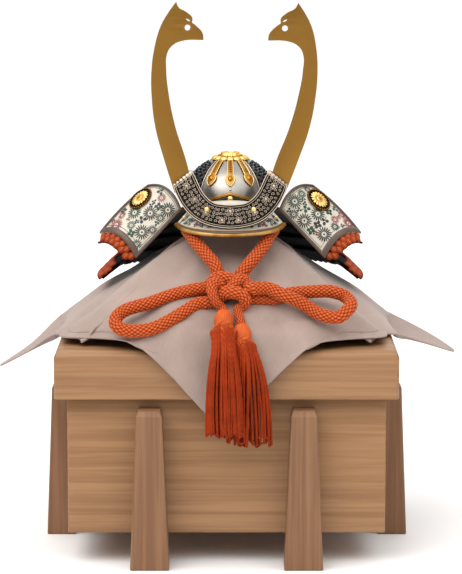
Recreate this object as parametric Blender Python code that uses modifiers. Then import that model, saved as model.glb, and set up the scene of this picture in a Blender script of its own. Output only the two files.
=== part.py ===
"""Display kabuto on its storage chest.

A small samurai helmet stands on a hidden post on the lid of a six-legged wooden chest. A square cloth is draped
over the post, and a braided cord is tied in front in a bow with two tassels. Metres, +Z up, the front faces -Y,
and the origin lies on the ground under the middle of the chest.
"""

import math

import bmesh
import bpy
import numpy as np
from mathutils import Matrix, Vector

GAP = 0.0003

# Chest
CHEST_WIDTH = 0.262
CHEST_DEPTH = 0.220
CHEST_FLOOR_Z = 0.026
BOARD = 0.009
LID_CLEARANCE = 0.001
LID_WIDTH = CHEST_WIDTH + 2 * (BOARD + LID_CLEARANCE)
LID_DEPTH = CHEST_DEPTH + 2 * (BOARD + LID_CLEARANCE)
LID_HEIGHT = 0.040
LID_TOP_Z = 0.180
LID_ROUND = 0.007
LEG_HEIGHT = 0.132
LEG_TOP_WIDTH = 0.021
LEG_FOOT_WIDTH = 0.032
LEG_TOP_THICKNESS = 0.019
LEG_FOOT_THICKNESS = 0.024
LEG_CHAMFER = 0.004
FRONT_LEG_X = 0.0632

# Bowl
HELMET_X = 0.003
BOWL_RADIUS = 0.038
BOWL_WALL = 0.003
BOWL_CENTRE_Z = 0.289
BOWL_SKIRT = 0.008
RIVET_RADIUS = 0.0019
RIVET_HEIGHT = 0.0014
RIVET_SUNK = 0.0006
RIVET_ROWS = 5
RIVET_COLUMNS = 14

# Bowl fittings
PLATE_WALL = 0.0013
PLATE_HALF_ANGLE = 38.0
STRIP_WALL = 0.001
CROWN_RADIUS = 0.0165
CROWN_HEIGHT = 0.0035
CROWN_HOLE_RADIUS = 0.0045
CROWN_PETALS = 14
TRIM_WALL = 0.001

# Visor and horns
VISOR_WALL = 0.0018
VISOR_SEAT = 0.0009
VISOR_HALF_WIDTH = 0.0445
VISOR_REACH = 0.075
VISOR_TOP_Z = 0.2935
VISOR_RIM_Z = 0.2705
VISOR_RIM_RADIUS = 0.0013
VISOR_STUD_RADIUS = 0.0017
MOUNT_WALL = 0.0016
MOUNT_HALF_WIDTH = 0.0475
MOUNT_BOTTOM_Z = 0.2742
MOUNT_CORNER_Z = 0.3070
MOUNT_BOTTOM_Y = -0.0731
MOUNT_SLOPE = 0.62
MOUNT_BOW = 0.006
MOUNT_STUD_RADIUS = 0.0024
MOUNT_STUD_OUT = 0.41
MOUNT_STUD_UP = 0.45
HORN_WALL = 0.0012
HORN_HEIGHT = 0.149
HORN_SPREAD = 0.069
HORN_BASE_Z = 0.3093
HORN_Y = -0.0420
HORN_LEAN = 2.2
HORN_HOLE_RADIUS = 0.0024

# Wings and neck guard
WING_SPREAD = 0.1065
WING_REACH = 0.032
WING_RISE = 0.0625
WING_FOOT_Z = 0.2435
WING_WALL = 0.0014
WING_RIM_WALL = 0.0010
WING_RIM_WIDTH = 0.0022
WING_END_BAND = 0.0050
MEDALLION_RADIUS = 0.0115
MEDALLION_HEIGHT = 0.0024
MEDALLION_PETALS = 14
LAME_COUNT = 5
LAME_WALL = 0.001
LAME_STEP = 0.0018
LAME_OVERLAP = 0.0030
GUARD_TOP_RADIUS = 0.0400
GUARD_TOP_Z = 0.2825
GUARD_FOOT_RADIUS = 0.1110
GUARD_FOOT_Z = 0.2260
GUARD_FRONT_Y = -0.0275

# Cloth
CLOTH_WALL = 0.0012
CLOTH_LIFT = 0.0006
CLOTH_LAYER = 0.0018
NECK_RADIUS = 0.025
NECK_Z = 0.270

# Post
POST_BASE_RADIUS = 0.030
POST_BASE_HEIGHT = 0.006
POST_RADIUS = 0.007
POST_HEAD_RADIUS = 0.0175

# Cord
CORD_RADIUS = 0.0053
TAIL_RADIUS = 0.0036
TAIL_LEAD = 0.0022
KNOT_CENTRE = (0.0011, -0.0988, 0.2257)
KNOT_SLOPE = 37.7
KNOT_HALF_WIDTH = 0.0185
KNOT_HALF_HEIGHT = 0.0155
KNOT_HALF_DEPTH = 0.0110
TASSEL_LOCKS = 9
TASSEL_DROP = 0.120
TASSEL_WIDTH = 0.020

COLOURS = {
    "wood": ((0.46, 0.30, 0.17), 0.62, 0.0),
    "linen": ((0.37, 0.29, 0.25), 0.90, 0.0),
    "lacquer": ((0.012, 0.012, 0.013), 0.30, 0.0),
    "silver": ((0.62, 0.61, 0.58), 0.20, 1.0),
    "aged_silver": ((0.30, 0.28, 0.25), 0.38, 1.0),
    "pale_gold": ((0.86, 0.62, 0.22), 0.22, 1.0),
    "brass": ((0.55, 0.33, 0.11), 0.36, 1.0),
    "leather": ((0.74, 0.70, 0.62), 0.55, 0.0),
    "edge_brown": ((0.19, 0.13, 0.10), 0.50, 0.3),
    "lacing": ((0.70, 0.12, 0.02), 0.75, 0.0),
    "cord": ((0.74, 0.10, 0.015), 0.70, 0.0),
    "tassel": ((0.60, 0.06, 0.010), 0.70, 0.0),
}


def clear_scene():
    """Remove every object and start with an empty file."""
    for obj in list(bpy.data.objects):
        bpy.data.objects.remove(obj, do_unlink=True)


def new_collection(name):
    collection = bpy.data.collections.new(name)
    bpy.context.scene.collection.children.link(collection)
    return collection


def material(slot):
    """The slot's material, made the first time that it is asked for."""
    found = bpy.data.materials.get(slot)
    if found:
        return found
    colour, roughness, metallic = COLOURS[slot]
    made = bpy.data.materials.new(slot)
    made.use_nodes = True
    shader = made.node_tree.nodes["Principled BSDF"]
    shader.inputs["Base Color"].default_value = (*colour, 1.0)
    shader.inputs["Roughness"].default_value = roughness
    shader.inputs["Metallic"].default_value = metallic
    made.diffuse_color = (*colour, 1.0)
    return made


def add_object(name, data, slot, location=(0.0, 0.0, 0.0)):
    """Link the data as an object of the helmet's collection."""
    obj = bpy.data.objects.new(name, data)
    obj.location = location
    data.materials.clear()
    data.materials.append(material(slot))
    PARTS.objects.link(obj)
    return obj


def as_cutter(obj):
    """Move a helper solid to the cutters' collection and show it as wire."""
    PARTS.objects.unlink(obj)
    CUTTERS.objects.link(obj)
    obj.hide_render = True
    obj.display_type = "WIRE"
    return obj


def bmesh_object(name, bm, slot, location=(0.0, 0.0, 0.0)):
    mesh = bpy.data.meshes.new(name)
    bm.to_mesh(mesh)
    bm.free()
    return add_object(name, mesh, slot, location)


def applied(obj):
    """Give the object its evaluated mesh, with the doubles of curve caps merged."""
    bpy.context.view_layer.update()
    evaluated = obj.evaluated_get(bpy.context.evaluated_depsgraph_get())
    mesh = bpy.data.meshes.new_from_object(evaluated)
    bm = bmesh.new()
    bm.from_mesh(mesh)
    bmesh.ops.remove_doubles(bm, verts=bm.verts, dist=1e-6)
    bm.to_mesh(mesh)
    bm.free()
    mesh.materials.clear()
    mesh.materials.append(obj.active_material)
    solid = bpy.data.objects.new(obj.name + ".solid", mesh)
    solid.matrix_world = obj.matrix_world
    for collection in obj.users_collection:
        collection.objects.link(solid)
    name = obj.name
    bpy.data.objects.remove(obj, do_unlink=True)
    solid.name = name
    return solid


def reshape(obj, move):
    """Move every vertex of the object's mesh by a function of its place."""
    for vert in obj.data.vertices:
        vert.co = Vector(move(*vert.co))


def boolean(obj, tool, operation):
    """Cut or join the object with a helper solid."""
    step = obj.modifiers.new(operation.title(), "BOOLEAN")
    step.operation = operation
    step.object = as_cutter(tool)


def box(name, slot, size, centre):
    """A box primitive with its size applied to the mesh."""
    bm = bmesh.new()
    bmesh.ops.create_cube(bm, size=1.0)
    bmesh.ops.scale(bm, vec=size, verts=bm.verts)
    return bmesh_object(name, bm, slot, centre)


def turned(name, slot, profile, steps, location=(0.0, 0.0, 0.0), ring=False):
    """Turn a profile of (radius, height) about Z; a ring's profile is closed, outer side first."""
    mesh = bpy.data.meshes.new(name)
    edges = [(index, index + 1) for index in range(len(profile) - 1)]
    if ring:
        edges.append((len(profile) - 1, 0))
    mesh.from_pydata([(radius, 0.0, height) for radius, height in profile], edges, [])
    obj = add_object(name, mesh, slot, location)
    screw = obj.modifiers.new("Turn", "SCREW")
    screw.angle = math.tau
    screw.steps = steps
    screw.render_steps = steps
    screw.use_merge_vertices = True
    screw.merge_threshold = 0.00001
    return obj


def sheet(name, slot, columns, rows, surface, wall, joined=False, even=True):
    """A grid laid on surface(u, v), u and v from 0 to 1, and thickened to both sides."""
    bm = bmesh.new()
    bmesh.ops.create_grid(bm, x_segments=columns, y_segments=rows, size=0.5)
    for vert in bm.verts:
        vert.co = Vector(surface(min(max(vert.co.x + 0.5, 0.0), 1.0), min(max(vert.co.y + 0.5, 0.0), 1.0)))
    if joined:
        bmesh.ops.remove_doubles(bm, verts=bm.verts, dist=1e-6)
    obj = bmesh_object(name, bm, slot)
    shell = obj.modifiers.new("Wall", "SOLIDIFY")
    shell.thickness = wall
    shell.offset = 0.0
    shell.use_even_offset = even
    return obj


def tube(name, slot, points, radius):
    """A round cord or rod through the points, with flat ends."""
    curve = bpy.data.curves.new(name, "CURVE")
    curve.dimensions = "3D"
    curve.bevel_depth = radius
    curve.bevel_resolution = 2
    curve.use_fill_caps = True
    spline = curve.splines.new("POLY")
    spline.points.add(len(points) - 1)
    for target, point in zip(spline.points, points):
        target.co = (*point, 1.0)
    return add_object(name, curve, slot)


def smooth_path(route, spacing):
    """Even points along a smooth curve through the route's own points."""
    knots = np.array(route, dtype=float)
    padded = np.vstack([2 * knots[0] - knots[1], knots, 2 * knots[-1] - knots[-2]])
    dense = []
    for index in range(len(knots) - 1):
        before, start, end, after = padded[index:index + 4]
        for share in np.linspace(0.0, 1.0, 24, endpoint=False):
            dense.append(0.5 * (2 * start + (end - before) * share
                                + (2 * before - 5 * start + 4 * end - after) * share ** 2
                                + (3 * start - before - 3 * end + after) * share ** 3))
    dense.append(knots[-1])
    dense = np.array(dense)
    travelled = np.concatenate([[0.0], np.cumsum(np.linalg.norm(np.diff(dense, axis=0), axis=1))])
    count = max(2, round(travelled[-1] / spacing))
    stops = np.linspace(0.0, travelled[-1], count + 1)
    return np.column_stack([np.interp(stops, travelled, dense[:, axis]) for axis in range(3)])


def outward(surface, u, v, like):
    """The direction square to surface(u, v) that points the same way as like."""
    step = 0.01
    run = Vector(surface(u + step, v)) - Vector(surface(u - step, v))
    rise = Vector(surface(u, v + step)) - Vector(surface(u, v - step))
    normal = run.cross(rise).normalized()
    return normal if normal.dot(Vector(like)) > 0 else -normal


def stand_on(obj, seat, normal):
    """Put the object's base at the seat, with its Z axis along the normal."""
    obj.rotation_mode = "QUATERNION"
    obj.rotation_quaternion = normal.to_track_quat("Z", "Y")
    obj.location = seat


def dome(name, radius, height, steps):
    """A small domed stud on its flat base."""
    angles = np.linspace(0.0, math.pi / 2, 4)
    profile = [(radius * math.sin(angle), height * math.cos(angle)) for angle in angles]
    return turned(name, "pale_gold", profile + [(0.0, 0.0)], steps)


def ease(value, low, high):
    """0 below low, 1 above high, smooth between."""
    share = min(max((value - low) / (high - low), 0.0), 1.0)
    return share * share * (3.0 - 2.0 * share)


# Chest


def build_chest():
    body_top = LID_TOP_Z - BOARD - GAP
    height = body_top - CHEST_FLOOR_Z
    body = box("chest_body", "wood", (CHEST_WIDTH, CHEST_DEPTH, height), (0, 0, CHEST_FLOOR_Z + height / 2))
    inside = box("chest_inside", "wood", (CHEST_WIDTH - 2 * BOARD, CHEST_DEPTH - 2 * BOARD, height),
                 (0, 0, CHEST_FLOOR_Z + BOARD + height / 2))
    boolean(body, inside, "DIFFERENCE")

    bm = bmesh.new()
    bmesh.ops.create_cube(bm, size=1.0)
    bmesh.ops.scale(bm, vec=(LID_WIDTH, LID_DEPTH, LID_HEIGHT), verts=bm.verts)
    upper = [edge for edge in bm.edges if all(vert.co.z > 0 for vert in edge.verts)]
    bmesh.ops.bevel(bm, geom=upper, offset=LID_ROUND, segments=4, profile=0.5, affect="EDGES")
    lid = bmesh_object("chest_lid", bm, "wood", (0, 0, LID_TOP_Z - LID_HEIGHT / 2))
    hollow = box("lid_inside", "wood", (LID_WIDTH - 2 * BOARD, LID_DEPTH - 2 * BOARD, LID_HEIGHT),
                 (0, 0, LID_TOP_Z - BOARD - LID_HEIGHT / 2))
    boolean(lid, hollow, "DIFFERENCE")


def build_leg(name, location, turn):
    """A tapered leg whose flat back stands against the chest; it faces -Y before it is turned."""
    bm = bmesh.new()
    bmesh.ops.create_cube(bm, size=1.0)
    for vert in bm.verts:
        width, thickness = LEG_FOOT_WIDTH, LEG_FOOT_THICKNESS
        if vert.co.z > 0:
            width, thickness = LEG_TOP_WIDTH, LEG_TOP_THICKNESS
        vert.co = Vector((vert.co.x * width, (vert.co.y - 0.5) * thickness, (vert.co.z + 0.5) * LEG_HEIGHT))
    head = [edge for edge in bm.edges if all(vert.co.z > LEG_HEIGHT / 2 for vert in edge.verts)
            and any(vert.co.y < -LEG_TOP_THICKNESS / 2 for vert in edge.verts)]
    bmesh.ops.bevel(bm, geom=head, offset=LEG_CHAMFER, segments=1, affect="EDGES")
    leg = bmesh_object(name, bm, "wood", location)
    leg.rotation_euler = (0, 0, math.radians(turn))


def build_legs():
    front_y = CHEST_DEPTH / 2 + GAP
    side_x = CHEST_WIDTH / 2 + GAP
    for side, sign in (("left", -1), ("right", 1)):
        build_leg("leg_front_" + side, (sign * FRONT_LEG_X, -front_y, 0), 0)
        build_leg("leg_back_" + side, (sign * FRONT_LEG_X, front_y, 0), 180)
        build_leg("leg_side_" + side, (sign * side_x, 0, 0), sign * 90)


# Post and cloth

CLOTH_TOP_Z = BOWL_CENTRE_Z + BOWL_RADIUS - BOWL_WALL - GAP - CLOTH_WALL / 2
POST_TOP_Z = CLOTH_TOP_Z - CLOTH_WALL / 2 - GAP
CLOTH_REST_Z = LID_TOP_Z + CLOTH_LIFT + CLOTH_WALL / 2

# The cloth over the head of the post: share of the neck radius, share of the height from neck to top
HEAD_PROFILE = ((0.00, 1.00), (0.40, 0.972), (0.68, 0.86), (0.82, 0.66), (0.87, 0.38), (1.00, 0.00))

# The tent from the neck to the lid's edge: share of the way out, share of the height above the lid
TENT_PROFILE = ((0.00, 1.00), (0.14, 0.815), (0.43, 0.560), (0.70, 0.350), (0.90, 0.175), (1.00, 0.00))

# The hem, once round from the front corner by the left tip, the back and the right tip.
# azimuth: degrees from the front; open: azimuth near the neck, where the pleats run out; reach: share of the
# distance to the lid's edge; drop: share of the lid's height that the hem hangs below the top;
# layer: 0 lies low, 2 is the top of a pleat
HEM = (
    # azimuth, open, reach, drop, layer
    (4.0, 0.0, 1.095, 1.42, 2.0),
    (12.0, 12.0, 1.075, 1.08, 2.0),
    (20.0, 22.0, 1.065, 0.56, 2.0),
    (31.0, 34.0, 1.016, 0.00, 2.0),
    (45.0, 47.0, 0.850, 0.00, 2.0),
    (57.0, 58.0, 0.930, 0.00, 2.0),
    (65.0, 64.0, 0.925, 0.00, 2.0),
    (66.0, 66.0, 0.925, 0.00, 1.5),
    (65.0, 68.0, 0.925, 0.00, 1.0),
    (58.0, 70.0, 0.900, 0.00, 1.0),
    (51.0, 72.0, 0.850, 0.00, 1.0),
    (50.0, 74.0, 0.845, 0.00, 0.5),
    (51.0, 76.0, 0.850, 0.00, 0.0),
    (60.0, 79.0, 0.880, 0.00, 0.0),
    (71.0, 83.0, 1.016, 0.00, 0.0),
    (83.0, 88.0, 1.210, 0.50, 0.0),
    (90.5, 92.0, 1.390, 0.90, 0.0),
    (101.0, 100.0, 1.200, 0.55, 0.0),
    (113.0, 112.0, 1.016, 0.00, 0.0),
    (126.0, 125.0, 0.880, 0.00, 0.0),
    (140.0, 140.0, 0.830, 0.00, 0.0),
    (154.0, 154.0, 1.016, 0.00, 0.0),
    (166.0, 167.0, 1.045, 0.90, 0.0),
    (180.0, 180.0, 1.070, 1.75, 0.0),
    (194.0, 193.0, 1.045, 0.90, 0.0),
    (206.0, 206.0, 1.016, 0.00, 0.0),
    (220.0, 220.0, 0.830, 0.00, 0.0),
    (234.0, 235.0, 0.880, 0.00, 0.0),
    (247.0, 248.0, 1.016, 0.00, 0.0),
    (259.0, 260.0, 1.230, 0.30, 0.0),
    (269.5, 268.0, 1.390, 0.60, 0.0),
    (277.0, 272.0, 1.240, 0.34, 0.0),
    (288.0, 277.0, 1.016, 0.00, 0.0),
    (299.0, 281.0, 0.900, 0.00, 0.0),
    (309.0, 284.0, 0.845, 0.00, 0.0),
    (310.0, 286.0, 0.840, 0.00, 0.5),
    (309.0, 288.0, 0.845, 0.00, 1.0),
    (302.5, 290.0, 0.860, 0.00, 1.0),
    (297.0, 292.0, 0.880, 0.00, 1.0),
    (296.0, 294.0, 0.885, 0.00, 1.5),
    (297.0, 296.0, 0.880, 0.00, 2.0),
    (305.0, 302.0, 0.900, 0.00, 2.0),
    (316.0, 313.0, 0.860, 0.00, 2.0),
    (330.0, 326.0, 1.016, 0.00, 2.0),
    (339.0, 338.0, 1.055, 0.42, 2.0),
    (350.0, 348.0, 1.070, 1.02, 2.0),
    (364.0, 360.0, 1.095, 1.42, 2.0),
)


def lid_edge(azimuth):
    """Distance from the middle of the lid to its edge, in a direction in degrees from the front."""
    across = abs(math.sin(math.radians(azimuth)))
    along = abs(math.cos(math.radians(azimuth)))
    to_side = LID_WIDTH / 2 / across if across > 1e-6 else math.inf
    to_front = LID_DEPTH / 2 / along if along > 1e-6 else math.inf
    return min(to_side, to_front)


def profile_at(profile, share):
    return float(np.interp(share, [row[0] for row in profile], [row[1] for row in profile]))


def tent_height(distance, edge):
    """Height of the cloth's middle at a distance from the post, where it still lies over the lid."""
    if distance <= NECK_RADIUS:
        return NECK_Z + (CLOTH_TOP_Z - NECK_Z) * profile_at(HEAD_PROFILE, distance / NECK_RADIUS)
    share = min((distance - NECK_RADIUS) / (edge - NECK_RADIUS), 1.0)
    return CLOTH_REST_Z + (NECK_Z - CLOTH_REST_Z) * profile_at(TENT_PROFILE, share)


# Rows of points from the post to where the cloth bends over the lid's edge, then on to the hem
ROWS_TO_BEND = (0.0, 0.068, 0.105, 0.137, 0.167, 0.212, 0.30, 0.44, 0.60, 0.80, 1.0)
ROWS_TO_HEM = (0.30, 0.62, 1.0)
BEND_SHARE = 0.92
PLEAT_OPENS = (0.048, 0.078)
PLEAT_RISES = (0.030, 0.048)


def cloth_radial(station, row):
    """Distance from the post and height of a row of the cloth at a station of the hem."""
    azimuth, _, reach, drop, _ = station
    edge = lid_edge(azimuth)
    hem = edge * reach
    hangs = reach > 1.0
    bend = edge - LID_ROUND * 0.8 if hangs else hem * BEND_SHARE
    if row < len(ROWS_TO_BEND):
        distance = bend * ROWS_TO_BEND[row]
        return distance, tent_height(distance, edge)
    share = ROWS_TO_HEM[row - len(ROWS_TO_BEND)]
    if not hangs:
        distance = bend + (hem - bend) * share
        return distance, tent_height(distance, edge)
    corner = edge + CLOTH_LIFT + CLOTH_WALL / 2 + GAP
    corner_height = CLOTH_REST_Z - min(drop * LID_HEIGHT, LID_ROUND * 0.9)
    on_way = (share - ROWS_TO_HEM[0]) / (1.0 - ROWS_TO_HEM[0])
    hem_height = CLOTH_REST_Z - drop * LID_HEIGHT
    return corner + (hem - corner) * on_way, corner_height + (hem_height - corner_height) * on_way


def cloth_point(station, row):
    """A point of the cloth at a station of the hem and a row; the pleats open towards the post."""
    distance, height = cloth_radial(station, row)
    azimuth, opened = station[:2]
    angle = math.radians(opened + (azimuth - opened) * ease(distance, *PLEAT_OPENS))
    height += station[4] * CLOTH_LAYER * ease(distance, *PLEAT_RISES)
    centre = HELMET_X * (1.0 - ease(distance, NECK_RADIUS, LID_DEPTH / 2))
    return (centre - distance * math.sin(angle), -distance * math.cos(angle), height)


def build_cloth():
    stations = len(HEM) - 1
    rows = len(ROWS_TO_BEND) + len(ROWS_TO_HEM) - 1

    def surface(u, v):
        row = round(v * rows)
        if row == 0:
            return (HELMET_X, 0.0, CLOTH_TOP_Z)
        return cloth_point(HEM[round(u * stations) % stations], row)

    sheet("drape_cloth", "linen", stations, rows, surface, CLOTH_WALL, joined=True, even=False)


def build_post():
    head_centre = POST_TOP_Z - POST_HEAD_RADIUS
    base = LID_TOP_Z + GAP
    head = [(POST_HEAD_RADIUS * math.sin(angle), head_centre + POST_HEAD_RADIUS * math.cos(angle))
            for angle in np.linspace(0.0, 0.62 * math.pi, 7)]
    profile = head + [
        (POST_RADIUS, head_centre - POST_HEAD_RADIUS * 0.75),
        (POST_RADIUS, base + POST_BASE_HEIGHT),
        (POST_BASE_RADIUS, base + POST_BASE_HEIGHT),
        (POST_BASE_RADIUS, base),
        (0.0, base),
    ]
    turned("stand_post", "wood", profile, 16, (HELMET_X, 0, 0))


# Bowl and its fittings


def on_bowl(azimuth, polar, radius):
    """A point on a sphere about the bowl's centre; azimuth from the front to the left, polar from the top."""
    side = math.sin(math.radians(polar)) * radius
    return (HELMET_X - side * math.sin(math.radians(azimuth)), -side * math.cos(math.radians(azimuth)),
            BOWL_CENTRE_Z + math.cos(math.radians(polar)) * radius)


def rivet_heads():
    """All rivet heads as one helper: low domes in columns round the sides and the back."""
    bm = bmesh.new()
    for column in range(RIVET_COLUMNS):
        azimuth = 55.0 + 250.0 * column / (RIVET_COLUMNS - 1)
        for row in range(RIVET_ROWS):
            polar = 36.0 + 12.5 * row
            if row == 0 and column % 2:
                continue
            top = Vector(on_bowl(azimuth, polar, 1.0)) - Vector((HELMET_X, 0.0, BOWL_CENTRE_Z))
            middle = Vector((HELMET_X, 0.0, BOWL_CENTRE_Z)) + top * (BOWL_RADIUS + (RIVET_HEIGHT - RIVET_SUNK) / 2)
            turn = top.to_track_quat("Z", "Y").to_matrix().to_4x4()
            bmesh.ops.create_cone(bm, cap_ends=True, segments=5, radius1=RIVET_RADIUS, radius2=RIVET_RADIUS * 0.55,
                                  depth=RIVET_HEIGHT + RIVET_SUNK, matrix=Matrix.Translation(middle) @ turn)
    return bmesh_object("rivet_heads", bm, "lacquer")


def build_bowl():
    inner = BOWL_RADIUS - BOWL_WALL
    outer_arc = [(BOWL_RADIUS * math.sin(angle), BOWL_CENTRE_Z + BOWL_RADIUS * math.cos(angle))
                 for angle in np.linspace(0.0, math.pi / 2, 8)]
    inner_arc = [(inner * math.sin(angle), BOWL_CENTRE_Z + inner * math.cos(angle))
                 for angle in np.linspace(math.pi / 2, 0.0, 6)]
    rim = BOWL_CENTRE_Z - BOWL_SKIRT
    profile = outer_arc + [(BOWL_RADIUS, rim), (inner, rim)] + inner_arc
    bowl = turned("bowl", "lacquer", profile, 24, (HELMET_X, 0, 0))
    boolean(bowl, rivet_heads(), "UNION")


def build_front_plate():
    radius = BOWL_RADIUS + GAP + PLATE_WALL / 2
    first = math.degrees(math.asin((CROWN_RADIUS + GAP) / BOWL_RADIUS))

    def surface(u, v):
        polar = first + (84.0 - first) * v
        width = PLATE_HALF_ANGLE * (0.93 + 0.07 * math.cos(math.pi * v))
        return on_bowl(width * (2 * u - 1), polar, radius)

    sheet("front_plate", "silver", 8, 5, surface, PLATE_WALL)


# The strips, each with its azimuth at the top and at the foot in degrees
STRIPS = (
    # side, top azimuth, foot azimuth
    ("middle", 0.0, 0.0),
    ("left", 27.0, 21.5),
    ("right", -27.0, -21.5),
)
STRIP_FIRST_POLAR = 26.6
STRIP_LAST_POLAR = 66.0
STRIP_HALF_WIDTHS = ((0.0, 0.0023), (0.55, 0.0031), (0.78, 0.0042), (0.90, 0.0030), (1.0, 0.0005))


def build_strips():
    radius = BOWL_RADIUS + GAP + PLATE_WALL + GAP + STRIP_WALL / 2
    for side, top_azimuth, foot_azimuth in STRIPS:
        def surface(u, v):
            polar = STRIP_FIRST_POLAR + (STRIP_LAST_POLAR - STRIP_FIRST_POLAR) * v
            around = radius * math.sin(math.radians(polar))
            half = math.degrees(profile_at(STRIP_HALF_WIDTHS, v) / around)
            return on_bowl(top_azimuth + (foot_azimuth - top_azimuth) * v + half * (2 * u - 1), polar, radius)

        sheet("strip_" + side, "pale_gold", 2, 8, surface, STRIP_WALL)


def build_crown():
    seat = BOWL_RADIUS + GAP

    def seat_height(radius):
        return BOWL_CENTRE_Z + math.sqrt(seat ** 2 - radius ** 2)

    under = [(radius, seat_height(radius)) for radius in np.linspace(CROWN_HOLE_RADIUS, CROWN_RADIUS, 3)]
    rim_top = seat_height(CROWN_RADIUS) + CROWN_HEIGHT * 0.45
    profile = [(CROWN_HOLE_RADIUS, seat_height(0.0) + CROWN_HEIGHT), (0.0080, seat_height(0.0) + CROWN_HEIGHT),
               (0.0105, seat_height(0.0105) + CROWN_HEIGHT * 0.4),
               (0.0145, seat_height(0.0130) + CROWN_HEIGHT * 0.55), (CROWN_RADIUS, rim_top)] + under[::-1]
    crown = applied(turned("crown_ring", "pale_gold", profile, 2 * CROWN_PETALS, (HELMET_X, 0, 0), ring=True))

    def scallop(x, y, z):
        radius = math.hypot(x, y)
        notch = 0.5 - 0.5 * math.cos(CROWN_PETALS * math.atan2(y, x))
        shrink = 1.0 - 0.09 * notch * ease(radius, 0.0110, CROWN_RADIUS)
        return (x * shrink, y * shrink, z)

    reshape(crown, scallop)
    for vert in crown.data.vertices:
        radius = math.hypot(vert.co.x, vert.co.y)
        vert.co.z = max(vert.co.z, seat_height(radius))


def build_brow_trim():
    """A shallow chevron band at the foot of the front plate."""
    radius = BOWL_RADIUS + GAP + PLATE_WALL + GAP + TRIM_WALL / 2

    def surface(u, v):
        side = abs(2 * u - 1)
        return on_bowl(24.0 * (2 * u - 1), 74.0 + 6.5 * side + 4.5 * v, radius)

    sheet("brow_trim", "pale_gold", 8, 2, surface, TRIM_WALL)


# Visor, horn mount and horns


def visor_point(side, out):
    """side from -1 at the right end to 1 at the left; out from 0 at the bowl to 1 at the rim."""
    at_trim = 1.0 - ease(abs(57.0 * side), 26.0, 44.0)
    inner_radius = BOWL_RADIUS + VISOR_SEAT + (PLATE_WALL + GAP + TRIM_WALL) * at_trim
    azimuth = math.radians(57.0 * side)
    inner = np.array([-inner_radius * math.sin(azimuth), -inner_radius * math.cos(azimuth),
                      VISOR_TOP_Z - 0.0085 * side ** 2])
    sweep = math.radians(78.0 * side)
    back = 0.0135
    outer = np.array([-VISOR_HALF_WIDTH * math.sin(sweep) / math.sin(math.radians(78.0)),
                      -back - (VISOR_REACH - back) * math.cos(sweep) ** 0.75,
                      VISOR_RIM_Z + 0.0025 * side ** 2 - 0.001 * (1 - side ** 2)])
    place = inner + (outer - inner) * out
    place[2] += 0.0030 * math.sin(math.pi * out) * (1 - side ** 2)
    return (place[0] + HELMET_X, place[1], place[2])


def build_visor():
    sheet("visor", "leather", 16, 3, lambda u, v: visor_point(2 * u - 1, 0.965 * v), VISOR_WALL)
    rim = [visor_point(side, 1.0) for side in np.linspace(-1.0, 1.0, 17)]
    lift = VISOR_RIM_RADIUS + GAP
    route = [(x + (x - HELMET_X) / VISOR_REACH * lift, y - lift * 0.6, z - lift * 0.1) for x, y, z in rim]
    tube("visor_rim", "pale_gold", route, VISOR_RIM_RADIUS)
    for side, sign in (("left", 1), ("right", -1)):
        normal = outward(visor_point, 0.90 * sign, 0.25, (0, 0, 1))
        seat = Vector(visor_point(0.90 * sign, 0.25)) + normal * (VISOR_WALL / 2 + GAP)
        stand_on(dome("visor_stud_" + side, VISOR_STUD_RADIUS, VISOR_STUD_RADIUS, 10), seat, normal)


def mount_point(along, height):
    """A point of the horn mount's middle surface, which leans back and bows round the visor."""
    lean = MOUNT_SLOPE * (height - MOUNT_BOTTOM_Z)
    return (HELMET_X + along, MOUNT_BOTTOM_Y + lean + MOUNT_BOW * (along / MOUNT_HALF_WIDTH) ** 2, height)


# The crescent's edges from the middle to the tip: share of the half width, share of the height
CRESCENT = (
    # outer across, outer up, inner across, inner up
    (0.00, 0.000, 0.00, 0.560),
    (0.20, 0.025, 0.13, 0.570),
    (0.41, 0.090, 0.26, 0.600),
    (0.60, 0.210, 0.38, 0.700),
    (0.75, 0.380, 0.48, 0.860),
    (0.87, 0.590, 0.55, 1.040),
    (0.96, 0.830, 0.61, 1.220),
    (1.00, 1.000, 0.67, 1.350),
)


def build_horn_mount():
    height = MOUNT_CORNER_Z - MOUNT_BOTTOM_Z
    table = np.array(CRESCENT)
    shares = np.linspace(0.0, 1.0, len(CRESCENT))

    def surface(u, v):
        place = abs(2 * u - 1)
        sign = -1.0 if u < 0.5 else 1.0
        row = [np.interp(place, shares, table[:, column]) for column in range(4)]
        across = row[0] + (row[2] - row[0]) * v
        up = row[1] + (row[3] - row[1]) * v
        return mount_point(sign * across * MOUNT_HALF_WIDTH, MOUNT_BOTTOM_Z + up * height)

    sheet("horn_mount", "aged_silver", 24, 2, surface, MOUNT_WALL)
    for side, sign in (("left", -1), ("right", 1)):
        spot = (sign * MOUNT_STUD_OUT * MOUNT_HALF_WIDTH, MOUNT_BOTTOM_Z + MOUNT_STUD_UP * height)
        normal = outward(mount_point, *spot, (0, -1, 0))
        seat = Vector(mount_point(*spot)) + normal * (MOUNT_WALL / 2 + GAP)
        stand_on(dome("mount_stud_" + side, MOUNT_STUD_RADIUS, MOUNT_STUD_RADIUS * 0.8, 10), seat, normal)


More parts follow.
